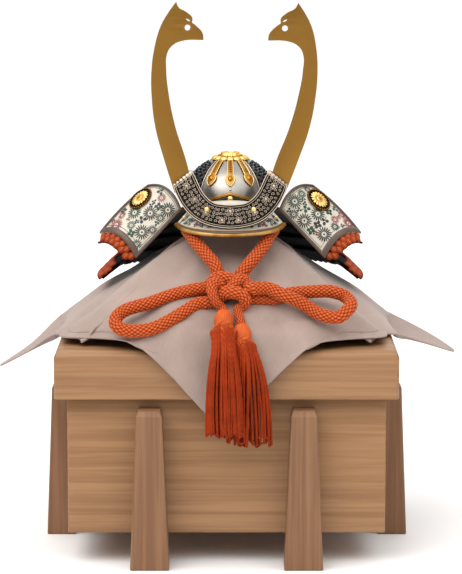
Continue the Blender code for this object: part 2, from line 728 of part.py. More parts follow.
# A horn from the inner end of its base round the blade, its outline as shares of spread and height
HORN_OUTLINE = (
    # out, up, corner
    (0.478, 0.010, True),
    (0.555, 0.130, False),
    (0.690, 0.306, False),
    (0.794, 0.515, False),
    (0.822, 0.620, False),
    (0.818, 0.712, False),
    (0.760, 0.757, False),
    (0.640, 0.784, False),
    (0.388, 0.790, True),
    (0.400, 0.826, False),
    (0.475, 0.866, False),
    (0.533, 0.886, True),
    (0.530, 0.910, False),
    (0.600, 0.943, False),
    (0.700, 0.970, False),
    (0.733, 1.000, True),
    (0.820, 0.942, False),
    (0.905, 0.868, False),
    (0.970, 0.755, False),
    (1.000, 0.620, False),
    (0.985, 0.460, False),
    (0.930, 0.300, False),
    (0.815, 0.125, False),
    (0.672, -0.065, True),
    (0.600, -0.090, True),
    (0.440, -0.020, True),
)
HORN_HOLE = (0.585, 0.858)


def build_horns():
    for side, sign in (("left", -1), ("right", 1)):
        curve = bpy.data.curves.new("horn_" + side, "CURVE")
        curve.dimensions = "2D"
        curve.fill_mode = "BOTH"
        curve.extrude = HORN_WALL / 2
        curve.resolution_u = 2
        spline = curve.splines.new("BEZIER")
        spline.bezier_points.add(len(HORN_OUTLINE) - 1)
        spline.use_cyclic_u = True
        for target, (out, up, corner) in zip(spline.bezier_points, HORN_OUTLINE):
            target.co = (sign * out * HORN_SPREAD, up * HORN_HEIGHT, 0.0)
            target.handle_left_type = target.handle_right_type = "VECTOR" if corner else "AUTO"
        hole = curve.splines.new("POLY")
        hole.points.add(11)
        hole.use_cyclic_u = True
        for index, target in enumerate(hole.points):
            angle = math.tau * index / 12
            target.co = (sign * HORN_HOLE[0] * HORN_SPREAD + HORN_HOLE_RADIUS * math.cos(angle),
                         HORN_HOLE[1] * HORN_HEIGHT + HORN_HOLE_RADIUS * math.sin(angle), 0.0, 1.0)
        horn = add_object("horn_" + side, curve, "brass", (HELMET_X, HORN_Y, HORN_BASE_Z))
        horn.rotation_euler = (math.pi / 2, math.radians(HORN_LEAN), 0)


# Neck guard and wings


def guard_point(out, depth):
    """A point behind the bowl: out from 0 at the bowl to 1 at the foot, depth below the outer line."""
    width = GUARD_FOOT_RADIUS - GUARD_TOP_RADIUS
    fall = GUARD_TOP_Z - GUARD_FOOT_Z
    slant = math.hypot(width, fall)
    bulge = 0.0035 * math.sin(math.pi * min(max(out, 0.0), 1.0))
    return (GUARD_TOP_RADIUS + out * width - (depth - bulge) * fall / slant,
            GUARD_TOP_Z - out * fall - (depth - bulge) * width / slant)


def build_lames():
    slant = math.hypot(GUARD_FOOT_RADIUS - GUARD_TOP_RADIUS, GUARD_TOP_Z - GUARD_FOOT_Z)
    overlap = LAME_OVERLAP / slant
    for index in range(LAME_COUNT):
        top = index / LAME_COUNT
        foot = (index + 1) / LAME_COUNT + (overlap if index < LAME_COUNT - 1 else 0.0)

        def surface(u, v):
            out = top + (foot - top) * v
            radius, height = guard_point(out, LAME_STEP * (1 - v))
            front = math.degrees(math.asin(-GUARD_FRONT_Y / radius))
            azimuth = math.radians(90.0 - front + (180.0 + 2 * front) * u)
            return (HELMET_X - radius * math.sin(azimuth), -radius * math.cos(azimuth), height)

        slot = "lacing" if index == LAME_COUNT - 1 else "lacquer"
        sheet("neck_lame_%d" % (index + 1), slot, 20, 1, surface, LAME_WALL)


# The wings' three long lines from the bowl to the foot, each at the inner end, the middle and the outer end, as
# shares of the spread, of the forward reach and of the rise above the foot
WING_LINES = (
    # line, out, forward, up
    ("rear", (0.582, 0.808, 1.000), (-0.125, 0.000, 0.188), (1.000, 0.712, 0.368)),
    ("crest", (0.465, 0.671, 0.869), (0.531, 0.625, 0.750), (0.968, 0.648, 0.296)),
    ("front", (0.390, 0.563, 0.751), (0.797, 0.906, 1.000), (0.648, 0.328, 0.000)),
)


def wing_point(sign, along, across):
    """A point of a wing's middle surface; along from the bowl to the foot, across from the rear to the front."""
    corners = np.array([[np.array(line[column]) for column in (1, 2, 3)] for line in WING_LINES])
    weights = np.array([2 * (along - 0.5) * (along - 1), 4 * along * (1 - along), 2 * along * (along - 0.5)])
    rear, crest, front = corners @ weights
    bend = 2 * crest - 0.5 * (rear + front)
    place = (1 - across) ** 2 * rear + 2 * across * (1 - across) * bend + across ** 2 * front
    out, forward, up = place * (WING_SPREAD, WING_REACH, WING_RISE)
    return Vector((HELMET_X + sign * out, -forward, WING_FOOT_Z + up))


def wing_normal(sign, along, across):
    """The wing's outward direction, up and to the front."""
    return outward(lambda u, v: wing_point(sign, u, v), along, across, (0, -1, 1))


def wing_frame(sign, turn, edge):
    """A point of the rim's closed band; turn runs once round the panel, edge from its outside to its inside."""
    length = (wing_point(sign, 1.0, 0.5) - wing_point(sign, 0.0, 0.5)).length
    line = [wing_point(sign, 0.5, share) for share in np.linspace(0.0, 1.0, 7)]
    width = sum((second - first).length for first, second in zip(line, line[1:]))
    corner = turn * 4.0
    side = int(corner) % 4
    share = corner - int(corner)
    near = WING_RIM_WIDTH / length
    far = 1 - WING_END_BAND / length
    low = WING_RIM_WIDTH / width
    inner = [(near, low), (far, low), (far, 1 - low), (near, 1 - low)]
    outer = [(0.0, 0.0), (1.0, 0.0), (1.0, 1.0), (0.0, 1.0)]
    spot = []
    for axis in (0, 1):
        out = outer[side][axis] + (outer[(side + 1) % 4][axis] - outer[side][axis]) * share
        inn = inner[side][axis] + (inner[(side + 1) % 4][axis] - inner[side][axis]) * share
        spot.append(out + (inn - out) * edge)
    raised = (WING_WALL + WING_RIM_WALL) / 2 + GAP
    return wing_point(sign, *spot) + wing_normal(sign, *spot) * raised


# The medallions' places on the wings, as shares along and across
MEDALLIONS = (("left", -1, 0.30, 0.30), ("right", 1, 0.30, 0.36))


def build_wings():
    for side, sign in (("left", -1), ("right", 1)):
        sheet("wing_" + side, "leather", 6, 6, lambda u, v: wing_point(sign, u, v), WING_WALL)
        sheet("wing_rim_" + side, "edge_brown", 24, 1, lambda u, v: wing_frame(sign, u, v), WING_RIM_WALL, True)
    for side, sign, along, across in MEDALLIONS:
        normal = wing_normal(sign, along, across)
        seat = wing_point(sign, along, across) + normal * (WING_WALL / 2 + GAP)
        shares = ((0.0, 1.0), (0.35, 0.7), (0.8, 0.85), (1.0, 0.35), (1.0, 0.0), (0.0, 0.0))
        profile = [(out * MEDALLION_RADIUS, up * MEDALLION_HEIGHT) for out, up in shares]
        disc = applied(turned("medallion_" + side, "pale_gold", profile, 2 * MEDALLION_PETALS))

        def petal(x, y, z):
            notch = 0.5 - 0.5 * math.cos(MEDALLION_PETALS * math.atan2(y, x))
            shrink = 1.0 - 0.10 * notch * ease(math.hypot(x, y), MEDALLION_RADIUS * 0.5, MEDALLION_RADIUS)
            return (x * shrink, y * shrink, z)

        reshape(disc, petal)
        stand_on(disc, seat, normal)


# Cord, knot and tassels


def on_knot(across, down, out):
    """A point in the knot's own directions: to the right, down the cloth's slope and out of the cloth."""
    slope = math.radians(KNOT_SLOPE)
    x, y, z = KNOT_CENTRE
    return (x + across, y - down * math.cos(slope) - out * math.sin(slope),
            z - down * math.sin(slope) + out * math.cos(slope))


# The neck loop: from the knot up its left strand, round behind the post and down the right strand
NECK_ROUTE = (
    (-0.0096, -0.0800, 0.2450),
    (-0.0156, -0.0730, 0.2515),
    (-0.0221, -0.0650, 0.2580),
    (-0.0281, -0.0570, 0.2635),
    (-0.0345, -0.0430, 0.2660),
    (-0.0405, -0.0190, 0.2645),
    (-0.0410, 0.0080, 0.2635),
    (-0.0300, 0.0330, 0.2630),
    (0.0030, 0.0455, 0.2625),
    (0.0360, 0.0330, 0.2630),
    (0.0470, 0.0080, 0.2635),
    (0.0465, -0.0190, 0.2645),
    (0.0400, -0.0430, 0.2655),
    (0.0345, -0.0570, 0.2620),
    (0.0293, -0.0650, 0.2568),
    (0.0235, -0.0730, 0.2509),
    (0.0176, -0.0800, 0.2450),
)

# The bow's left loop lies flat on the cloth
LEFT_ROUTE = (
    (-0.0240, -0.0899, 0.2268),
    (-0.0387, -0.0909, 0.2236),
    (-0.0506, -0.0947, 0.2205),
    (-0.0629, -0.0993, 0.2167),
    (-0.0733, -0.1022, 0.2144),
    (-0.0818, -0.1045, 0.2120),
    (-0.0885, -0.1080, 0.2080),
    (-0.0908, -0.1133, 0.2031),
    (-0.0870, -0.1175, 0.1988),
    (-0.0786, -0.1190, 0.1969),
    (-0.0687, -0.1193, 0.1973),
    (-0.0584, -0.1176, 0.1993),
    (-0.0485, -0.1139, 0.2034),
    (-0.0383, -0.1090, 0.2087),
    (-0.0245, -0.1020, 0.2160),
)

# The right loop leaves the knot on top, crosses over its own return and lies on the cloth
RIGHT_ROUTE = (
    (0.0249, -0.1018, 0.2294),
    (0.0320, -0.1018, 0.2295),
    (0.0379, -0.1032, 0.2281),
    (0.0442, -0.1058, 0.2254),
    (0.0509, -0.1066, 0.2227),
    (0.0592, -0.1048, 0.2187),
    (0.0657, -0.1040, 0.2145),
    (0.0727, -0.1054, 0.2100),
    (0.0785, -0.1078, 0.2079),
    (0.0862, -0.1096, 0.2066),
    (0.0925, -0.1098, 0.2072),
    (0.0980, -0.1070, 0.2112),
    (0.1015, -0.1020, 0.2145),
    (0.1018, -0.0960, 0.2168),
    (0.0992, -0.0900, 0.2190),
    (0.0945, -0.0872, 0.2218),
    (0.0847, -0.0875, 0.2245),
    (0.0752, -0.0881, 0.2246),
    (0.0664, -0.0886, 0.2241),
    (0.0595, -0.0896, 0.2237),
    (0.0527, -0.0911, 0.2232),
    (0.0455, -0.0935, 0.2216),
    (0.0389, -0.0957, 0.2201),
    (0.0323, -0.0962, 0.2197),
    (0.0255, -0.0960, 0.2200),
)

# Where the cord's runs meet the knot: across, down the slope, out of the cloth
KNOT_PORTS = {
    "neck_left": (-0.0075, -1.0, 0.0000),
    "neck_right": (0.0085, -1.0, 0.0000),
    "left_upper": (-1.0, -0.0078, -0.0035),
    "left_lower": (-1.0, 0.0067, -0.0055),
    "right_over": (1.0, 0.0009, 0.0048),
    "right_under": (1.0, 0.0009, -0.0062),
    "tail_left": (-0.0034, 1.0, -0.0045),
    "tail_right": (0.0080, 1.0, -0.0045),
}
PORT_LEAD = 0.0030


def port(name, lead=0.0):
    """A run's end in front of the knot's flat side, or a point straight out of it by the lead."""
    across, down, out = KNOT_PORTS[name]
    stand = GAP + lead
    if abs(across) == 1.0:
        across = math.copysign(KNOT_HALF_WIDTH + stand, across)
    else:
        down = math.copysign(KNOT_HALF_HEIGHT + stand, down)
    return on_knot(across, down, out)


def run_between(first, route, last, spacing):
    """A smooth route that leaves one port and enters another straight."""
    middle = smooth_path([port(first, PORT_LEAD), *route, port(last, PORT_LEAD)], spacing)
    return [port(first), *middle, port(last)]


def build_knot():
    bm = bmesh.new()
    bmesh.ops.create_cube(bm, size=2.0)
    bmesh.ops.scale(bm, vec=(KNOT_HALF_WIDTH, KNOT_HALF_HEIGHT, KNOT_HALF_DEPTH), verts=bm.verts)
    bmesh.ops.bevel(bm, geom=list(bm.edges), offset=0.0026, segments=2, profile=0.5, affect="EDGES")
    knot = bmesh_object("cord_knot", bm, "cord", KNOT_CENTRE)
    knot.rotation_euler = (math.radians(KNOT_SLOPE), 0, 0)


def build_cord():
    tube("cord_neck", "cord", run_between("neck_left", NECK_ROUTE, "neck_right", 0.0130), CORD_RADIUS)
    tube("cord_loop_left", "cord", run_between("left_upper", LEFT_ROUTE, "left_lower", 0.0085), CORD_RADIUS)
    tube("cord_loop_right", "cord", run_between("right_over", RIGHT_ROUTE, "right_under", 0.0085), CORD_RADIUS)


# The tassels' sections down their middle line from the knot's centre: places as shares of the drop, sizes as
# shares of the width
TASSEL_SECTIONS = {
    "front": (
        # across, forward, below, half width, half depth
        (-0.028, 0.105, 0.128, 0.200, 0.200),
        (-0.028, 0.119, 0.139, 0.340, 0.340),
        (-0.028, 0.158, 0.170, 0.400, 0.400),
        (-0.028, 0.192, 0.195, 0.390, 0.370),
        (-0.027, 0.208, 0.210, 0.330, 0.320),
        (-0.027, 0.238, 0.240, 0.440, 0.330),
        (-0.027, 0.279, 0.288, 0.490, 0.315),
        (-0.026, 0.338, 0.367, 0.540, 0.310),
        (-0.026, 0.396, 0.467, 0.650, 0.300),
        (-0.025, 0.422, 0.631, 0.750, 0.300),
        (-0.023, 0.425, 0.797, 0.795, 0.300),
        (-0.021, 0.425, 0.910, 0.825, 0.300),
    ),
    "side": (
        (0.094, 0.163, 0.206, 0.190, 0.190),
        (0.094, 0.174, 0.218, 0.300, 0.300),
        (0.098, 0.206, 0.252, 0.350, 0.350),
        (0.102, 0.230, 0.282, 0.330, 0.320),
        (0.105, 0.243, 0.299, 0.275, 0.265),
        (0.113, 0.260, 0.323, 0.380, 0.275),
        (0.127, 0.283, 0.367, 0.450, 0.275),
        (0.138, 0.308, 0.450, 0.590, 0.275),
        (0.142, 0.314, 0.589, 0.775, 0.275),
        (0.144, 0.314, 0.756, 0.910, 0.275),
        (0.146, 0.314, 1.008, 0.985, 0.275),
    ),
}
SKIRT_STARTS = 5


def from_knot(across, forward, below):
    """A point of a tassel's middle line, from its shares of the drop."""
    return Vector(KNOT_CENTRE) + Vector((across, -forward, -below)) * TASSEL_DROP


def build_tassel(name, sections):
    """Loft the head and the skirt; the skirt's sections have one lobe for each lock."""
    columns = 2 * TASSEL_LOCKS
    centres = [from_knot(*row[:3]) for row in sections]
    bm = bmesh.new()
    rings = []
    for index, row in enumerate(sections):
        along = (centres[min(index + 1, len(centres) - 1)] - centres[max(index - 1, 0)]).normalized()
        width_axis = Vector((1.0, 0.0, 0.0))
        depth_axis = along.cross(width_axis).normalized()
        groove = 0.10 if index >= SKIRT_STARTS else 0.0
        ring = []
        for column in range(columns):
            angle = math.tau * column / columns
            swell = 1.0 - groove * (0.5 - 0.5 * math.cos(TASSEL_LOCKS * angle))
            side = width_axis * (row[3] * TASSEL_WIDTH * swell * math.cos(angle))
            front = depth_axis * (row[4] * TASSEL_WIDTH * swell * math.sin(angle))
            ring.append(bm.verts.new(centres[index] + side + front))
        rings.append([bm.edges.new((ring[column - 1], ring[column])) for column in range(columns)])
    for upper, lower in zip(rings, rings[1:]):
        bmesh.ops.bridge_loops(bm, edges=upper + lower)
    for ring in (rings[0], rings[-1]):
        bmesh.ops.contextual_create(bm, geom=ring)
    bmesh.ops.recalc_face_normals(bm, faces=bm.faces)
    bmesh_object(name, bm, "tassel")


def build_tassels():
    """The tassels and the short tails that carry them, each tail straight into its tassel's head."""
    for side, tail in (("front", "tail_left"), ("side", "tail_right")):
        sections = TASSEL_SECTIONS[side]
        build_tassel("tassel_" + side, sections)
        top = from_knot(*sections[0][:3])
        inward = (from_knot(*sections[1][:3]) - top).normalized()
        route = [port(tail), port(tail, TAIL_LEAD), top - inward * TAIL_LEAD, top - inward * GAP]
        if side == "front":
            route = [port(tail), top - inward * GAP]
        tube("cord_tail_" + side, "cord", route, TAIL_RADIUS)


def build_all():
    build_chest()
    build_legs()
    build_post()
    build_cloth()
    build_bowl()
    build_front_plate()
    build_strips()
    build_crown()
    build_brow_trim()
    build_visor()
    build_horn_mount()
    build_horns()
    build_lames()
    build_wings()
    build_knot()
    build_cord()
    build_tassels()


clear_scene()
PARTS = new_collection("kabuto_on_chest")
CUTTERS = new_collection("cutters")
build_all()
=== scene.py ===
"""Display kabuto on its storage chest: detailed pieces, finishes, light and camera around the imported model.

Every sub-assembly is a class that holds its sizes in metres and builds its own pieces. Shapes are numpy
surfaces: a function of two parameters on a grid, or a profile carried along a path. The front faces -Y and +Z
is up.
"""

from __future__ import annotations

import logging
import math
import sys
from dataclasses import dataclass, field
from enum import Enum
from typing import Callable, Sequence

import bmesh
import bpy
import numpy as np
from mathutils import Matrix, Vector

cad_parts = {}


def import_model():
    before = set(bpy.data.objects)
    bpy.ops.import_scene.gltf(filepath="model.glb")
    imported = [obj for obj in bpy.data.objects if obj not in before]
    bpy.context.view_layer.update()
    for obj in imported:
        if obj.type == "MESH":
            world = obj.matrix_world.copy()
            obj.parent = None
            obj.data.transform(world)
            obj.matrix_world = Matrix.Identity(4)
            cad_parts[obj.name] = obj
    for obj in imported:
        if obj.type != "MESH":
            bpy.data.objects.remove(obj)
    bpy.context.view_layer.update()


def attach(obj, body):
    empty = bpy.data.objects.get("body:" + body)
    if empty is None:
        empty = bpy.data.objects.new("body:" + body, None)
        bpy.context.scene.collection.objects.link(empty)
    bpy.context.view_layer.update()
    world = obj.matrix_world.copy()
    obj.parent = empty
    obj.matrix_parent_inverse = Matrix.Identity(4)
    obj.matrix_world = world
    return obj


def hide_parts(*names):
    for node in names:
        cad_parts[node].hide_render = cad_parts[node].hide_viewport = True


log = logging.getLogger("kabuto")
Array = np.ndarray
Object = bpy.types.Object
Material = bpy.types.Material
Socket = bpy.types.NodeSocket
Sockets = dict[str, Socket]
Tree = bpy.types.ShaderNodeTree
Pair = tuple[float, float]
Triple = tuple[float, float, float]
Chart = Callable[[Array, Array], Array]

UP = (0.0, 0.0, 1.0)
ACROSS = np.array((1.0, 0.0, 0.0))

BODY = "root"
HELMET_X = 0.003
BOWL_CENTRE_Z = 0.289
BOWL_RADIUS = 0.038
KNOT_CENTRE = np.array((0.0011, -0.0988, 0.2257))
KNOT_SLOPE = math.radians(37.7)


# Shapes


@dataclass
class Surface:
    """Vertices, faces and one UV for each face corner, before they become an object.

    Args:
        verts: An (n, 3) array of places in metres.
        faces: Groups of equal polygons, each a (k, corners) array of vertex numbers.
        uvs: One (k, corners, 2) array for each group.
        relief: One number from 0 to 1 for each vertex, which materials read as the attribute relief.
    """

    verts: Array
    faces: list[Array]
    uvs: list[Array]
    relief: Array | None = None

    def tinted(self, relief: Array | float) -> "Surface":
        """Set the relief attribute of every vertex and return the surface."""
        self.relief = np.broadcast_to(np.asarray(relief, dtype=float), (len(self.verts),)).copy()
        return self


def grid(points: Array, closed_rows: bool = False, closed_columns: bool = False, caps: bool = False,
         relief: Array | None = None, scale: Pair = (1.0, 1.0)) -> Surface:
    """Join an array of points into quads: row i, column j meets row i + 1 and column j + 1.

    Args:
        points: An (rows, columns, 3) array.
        closed_rows: Whether the last row joins the first one.
        closed_columns: Whether the last column joins the first one.
        caps: Whether the first and the last row are closed by a fan round their mean point.
        relief: A (rows, columns) array for the relief attribute.
        scale: The UV span of the whole grid along the rows and along the columns.

    Returns:
        The surface, with its UV running along the columns and the rows.
    """
    rows, columns = points.shape[:2]
    spans = (rows - (not closed_rows), columns - (not closed_columns))
    i, j = (part.ravel() for part in np.meshgrid(np.arange(spans[0]), np.arange(spans[1]), indexing="ij"))
    steps = ((0, 0), (0, 1), (1, 1), (1, 0))
    faces = np.stack([((i + a) % rows) * columns + (j + b) % columns for a, b in steps], axis=1)
    uv = np.stack([np.stack([(j + b) / spans[1] * scale[1], (i + a) / spans[0] * scale[0]], axis=1)
                   for a, b in steps], axis=1)
    verts = points.reshape(-1, 3)
    shade = None if relief is None else relief.ravel()
    groups, uvs = [faces], [uv]
    if caps:
        around = np.arange(columns)
        for row, first in ((0, True), (rows - 1, False)):
            centre = len(verts)
            verts = np.vstack([verts, points[row].mean(axis=0)])
            if shade is not None:
                shade = np.append(shade, relief[row].mean())
            here, after = row * columns + around, row * columns + (around + 1) % columns
            fan = (after, here) if first else (here, after)
            groups.append(np.stack([np.full(columns, centre), *fan], axis=1))
            edge = 0.0 if first else scale[0]
            uvs.append(np.stack([np.stack([(around + b) / columns, np.full(columns, edge)], axis=1)
                                 for b in (0.5, 1.0, 0.0)], axis=1))
    return Surface(verts, groups, uvs, shade)


def joined(surfaces: Sequence[Surface]) -> Surface:
    """Several surfaces as one, each still a shell of its own."""
    starts = np.cumsum([0] + [len(surface.verts) for surface in surfaces[:-1]])
    verts = np.vstack([surface.verts for surface in surfaces])
    faces = [group + start for surface, start in zip(surfaces, starts) for group in surface.faces]
    uvs = [group for surface in surfaces for group in surface.uvs]
    relief = np.concatenate([np.ones(len(s.verts)) if s.relief is None else s.relief for s in surfaces])
    return Surface(verts, faces, uvs, relief)


def repeated(shape: Surface, places: Array, axes: Array) -> Surface:
    """Copies of a small shape, one for each place, turned by its own axes.

    Args:
        shape: The shape about its own origin, its top along +Z.
        places: An (n, 3) array of origins.
        axes: An (n, 3, 3) array, whose rows are the copy's own X, Y and Z directions with their lengths.
    """
    count, size = len(places), len(shape.verts)
    verts = (np.einsum("vk,nkc->nvc", shape.verts, axes) + places[:, None]).reshape(-1, 3)
    starts = np.arange(count)[:, None, None] * size
    faces = [(group[None] + starts).reshape(-1, group.shape[1]) for group in shape.faces]
    uvs = [np.tile(group, (count, 1, 1)) for group in shape.uvs]
    relief = np.tile(np.ones(size) if shape.relief is None else shape.relief, count)
    return Surface(verts, faces, uvs, relief)


def unit(vectors: Array) -> Array:
    """Each vector divided by its length."""
    return vectors / np.maximum(np.linalg.norm(vectors, axis=-1, keepdims=True), 1e-12)


def full_turn(count: int) -> Array:
    """Angles of a whole turn in equal steps, the first one 0."""
    return np.arange(count) / count * math.tau


def swung(angle: Array, first: Array, second: Array) -> Array:
    """A direction for each angle: first cos a + second sin a."""
    return np.cos(angle)[:, None] * first + np.sin(angle)[:, None] * second


def travel(path: Array) -> Array:
    """Distance along a path from its first point to each of its points."""
    return np.concatenate([[0.0], np.cumsum(np.linalg.norm(np.diff(path, axis=0), axis=1))])


def tangents(point: Chart, along: Array, across: Array, steps: tuple[Array | float, float],
             facing: Triple) -> tuple[Array, Array, Array]:
    """Unit directions of a surface, from differences of two steps.

    Args:
        point: The surface's place for two parameters.
        along: The first parameter.
        across: The second one.
        steps: The step to each side in both parameters.
        facing: A direction on the surface's outer side.

    Returns:
        The directions of both parameters and the normal, the unit cross product turned to the outer side.
    """
    run = unit(point(along + steps[0], across) - point(along - steps[0], across))
    over = unit(point(along, across + steps[1]) - point(along, across - steps[1]))
    out = unit(np.cross(run, over))
    return run, over, out * np.sign((out * facing).sum(axis=-1, keepdims=True))


def ease(value: Array | float, low: float, high: float) -> Array:
    """0 below low, 1 above high, and 3t^2 - 2t^3 between them."""
    share = np.clip((np.asarray(value, dtype=float) - low) / (high - low), 0.0, 1.0)
    return share * share * (3.0 - 2.0 * share)


def spline(knots: Array, at: Array, closed: bool = False) -> Array:
    """Catmull-Rom curve through rows of knots; at counts in knots from the first one."""
    knots = np.asarray(knots, dtype=float)
    count = len(knots)
    if closed:
        base = np.floor(at).astype(int)
        picks = [knots[(base + step) % count] for step in (-1, 0, 1, 2)]
    else:
        padded = np.concatenate([[2 * knots[0] - knots[1]], knots, [2 * knots[-1] - knots[-2]]])
        base = np.clip(np.floor(at).astype(int), 0, count - 2)
        picks = [padded[base + step] for step in (0, 1, 2, 3)]
    share = (at - base).reshape((-1,) + (1,) * (knots.ndim - 1))
    before, start, end, after = picks
    return 0.5 * (2 * start + (end - before) * share + (2 * before - 5 * start + 4 * end - after) * share ** 2
                  + (3 * start - before - 3 * end + after) * share ** 3)


def even_path(knots: Array, spacing: float) -> Array:
    """Points an equal way apart along the smooth curve through the knots."""
    dense = spline(knots, np.linspace(0.0, len(knots) - 1.0, 60 * len(knots)))
    travelled = travel(dense)
    stops = np.linspace(0.0, travelled[-1], max(3, round(travelled[-1] / spacing)) + 1)
    return np.stack([np.interp(stops, travelled, dense[:, axis]) for axis in range(3)], axis=1)


def carried(path: Array, up: Triple) -> tuple[Array, Array]:
    """Side and normal directions that follow a path without twisting, the first normal nearest to up."""
    tangents = unit(np.gradient(path, axis=0))
    normals = np.empty_like(path)
    last = np.array(up, dtype=float)
    for index, tangent in enumerate(tangents):
        last = last - tangent * last.dot(tangent)
        if np.linalg.norm(last) < 1e-6:
            last = np.cross(tangent, (0.31, 0.71, 0.62))
        last = last / np.linalg.norm(last)
        normals[index] = last
    return np.cross(tangents, normals), normals


def tube(path: Array, radius: Array | float, sides: int, relief: Array | None = None, up: Triple = UP,
         scale: Pair = (1.0, 1.0)) -> Surface:
    """A round profile carried along a path: place + (side cos a + normal sin a) radius."""
    side, normal = carried(path, up)
    angle = full_turn(sides)
    if np.ndim(radius) == 1:
        radius = np.reshape(radius, (-1, 1))
    radius = np.broadcast_to(radius, (len(path), sides))
    ring = side[:, None] * np.cos(angle)[None, :, None] + normal[:, None] * np.sin(angle)[None, :, None]
    points = path[:, None] + ring * radius[..., None]
    return grid(points, closed_columns=True, caps=True, relief=relief, scale=scale)


def turned(profile: Sequence[Pair], steps: int) -> Surface:
    """A profile of (radius, height) turned about Z."""
    rows = np.array(profile, dtype=float)
    radius, height = np.repeat(rows[:, :1], steps, axis=1), np.repeat(rows[:, 1:], steps, axis=1)
    angle = full_turn(steps)
    points = np.stack([radius * np.cos(angle), radius * np.sin(angle), height], axis=2)
    return grid(points, closed_columns=True, caps=True)


def dome(radius: float, height: float, steps: int = 12, rings: int = 4, sunk: float = 0.0003) -> Surface:
    """A half ellipsoid on a short skirt that sinks into what carries it."""
    angle = np.linspace(0.08, 1.0, rings) * math.pi / 2
    profile = [(radius * math.sin(a), height * math.cos(a)) for a in angle]
    return turned(profile + [(radius, -sunk)], steps)


# Objects


def piece(name: str, surface: Surface, finish: Finish, nodes: Sequence[str] = (), smooth: bool = True,
          recalculate: bool = True, merge: float = 0.0) -> Object:
    """Make a surface an object of the helmet that rides with the frame.

    Args:
        name: The piece's name.
        surface: Its shape in the frame's metres.
        finish: Its finish.
        nodes: The CAD nodes that it stands for.
        smooth: Whether its faces are shaded smooth.
        recalculate: Whether its faces are turned outwards, which an open sheet doesn't need.
        merge: The distance within which doubles are merged.
    """
    mesh = bpy.data.meshes.new(name)
    mesh.from_pydata(surface.verts.tolist(), [], [face for group in surface.faces for face in group.tolist()])
    layer = mesh.uv_layers.new(name="UVMap")
    layer.data.foreach_set("uv", np.concatenate([group.reshape(-1, 2) for group in surface.uvs]).ravel())
    if surface.relief is not None:
        attribute = mesh.attributes.new("relief", "FLOAT", "POINT")
        attribute.data.foreach_set("value", surface.relief)
    if merge or recalculate:
        bm = bmesh.new()
        bm.from_mesh(mesh)
        if merge:
            bmesh.ops.remove_doubles(bm, verts=bm.verts, dist=merge)
        if recalculate:
            bmesh.ops.recalc_face_normals(bm, faces=bm.faces)
        bm.to_mesh(mesh)
        bm.free()
    mesh.polygons.foreach_set("use_smooth", [smooth] * len(mesh.polygons))
    mesh.materials.append(finish.material())
    obj = bpy.data.objects.new(name, mesh)
    bpy.context.scene.collection.objects.link(obj)
    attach(obj, BODY)
    if nodes:
        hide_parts(*nodes)
    log.info("%s: %d faces", name, len(mesh.polygons))
    return obj


def walled(obj: Object, wall: float) -> None:
    """Give a sheet its thickness, half of it to each side."""
    shell = obj.modifiers.new("Wall", "SOLIDIFY")
    shell.thickness = wall
    shell.offset = 0.0


def leaf(name: str, points: Array, finish: Finish, nodes: Sequence[str], wall: float) -> None:
    """Make a grid of points a piece with a wall."""
    walled(piece(name, grid(points), finish, nodes, recalculate=False), wall)


def seated(point: Chart, axes: Chart, along: float, across: float, height: float) -> tuple[Array, Array]:
    """One seat on a surface for a small shape.

    Args:
        point: The surface's place for two parameters.
        axes: Its rows for the same parameters, the last one outwards.
        along: The first parameter.
        across: The second one.
        height: How far the seat stands off the surface.

    Returns:
        The seat's place and its axes, as arrays with one row.
    """
    at = np.array((along,)), np.array((across,))
    frame = axes(*at)
    return point(*at) + frame[:, 2] * height, frame


def normals_of(points: Array, outward: Sequence[float]) -> Array:
    """Unit normals of a grid of points, turned to the side of a given direction."""
    normal = unit(np.cross(np.gradient(points, axis=0), np.gradient(points, axis=1)))
    facing = np.sign((normal * np.array(outward)).sum(axis=-1).mean())
    return normal * (facing if facing else 1.0)


# Finishes


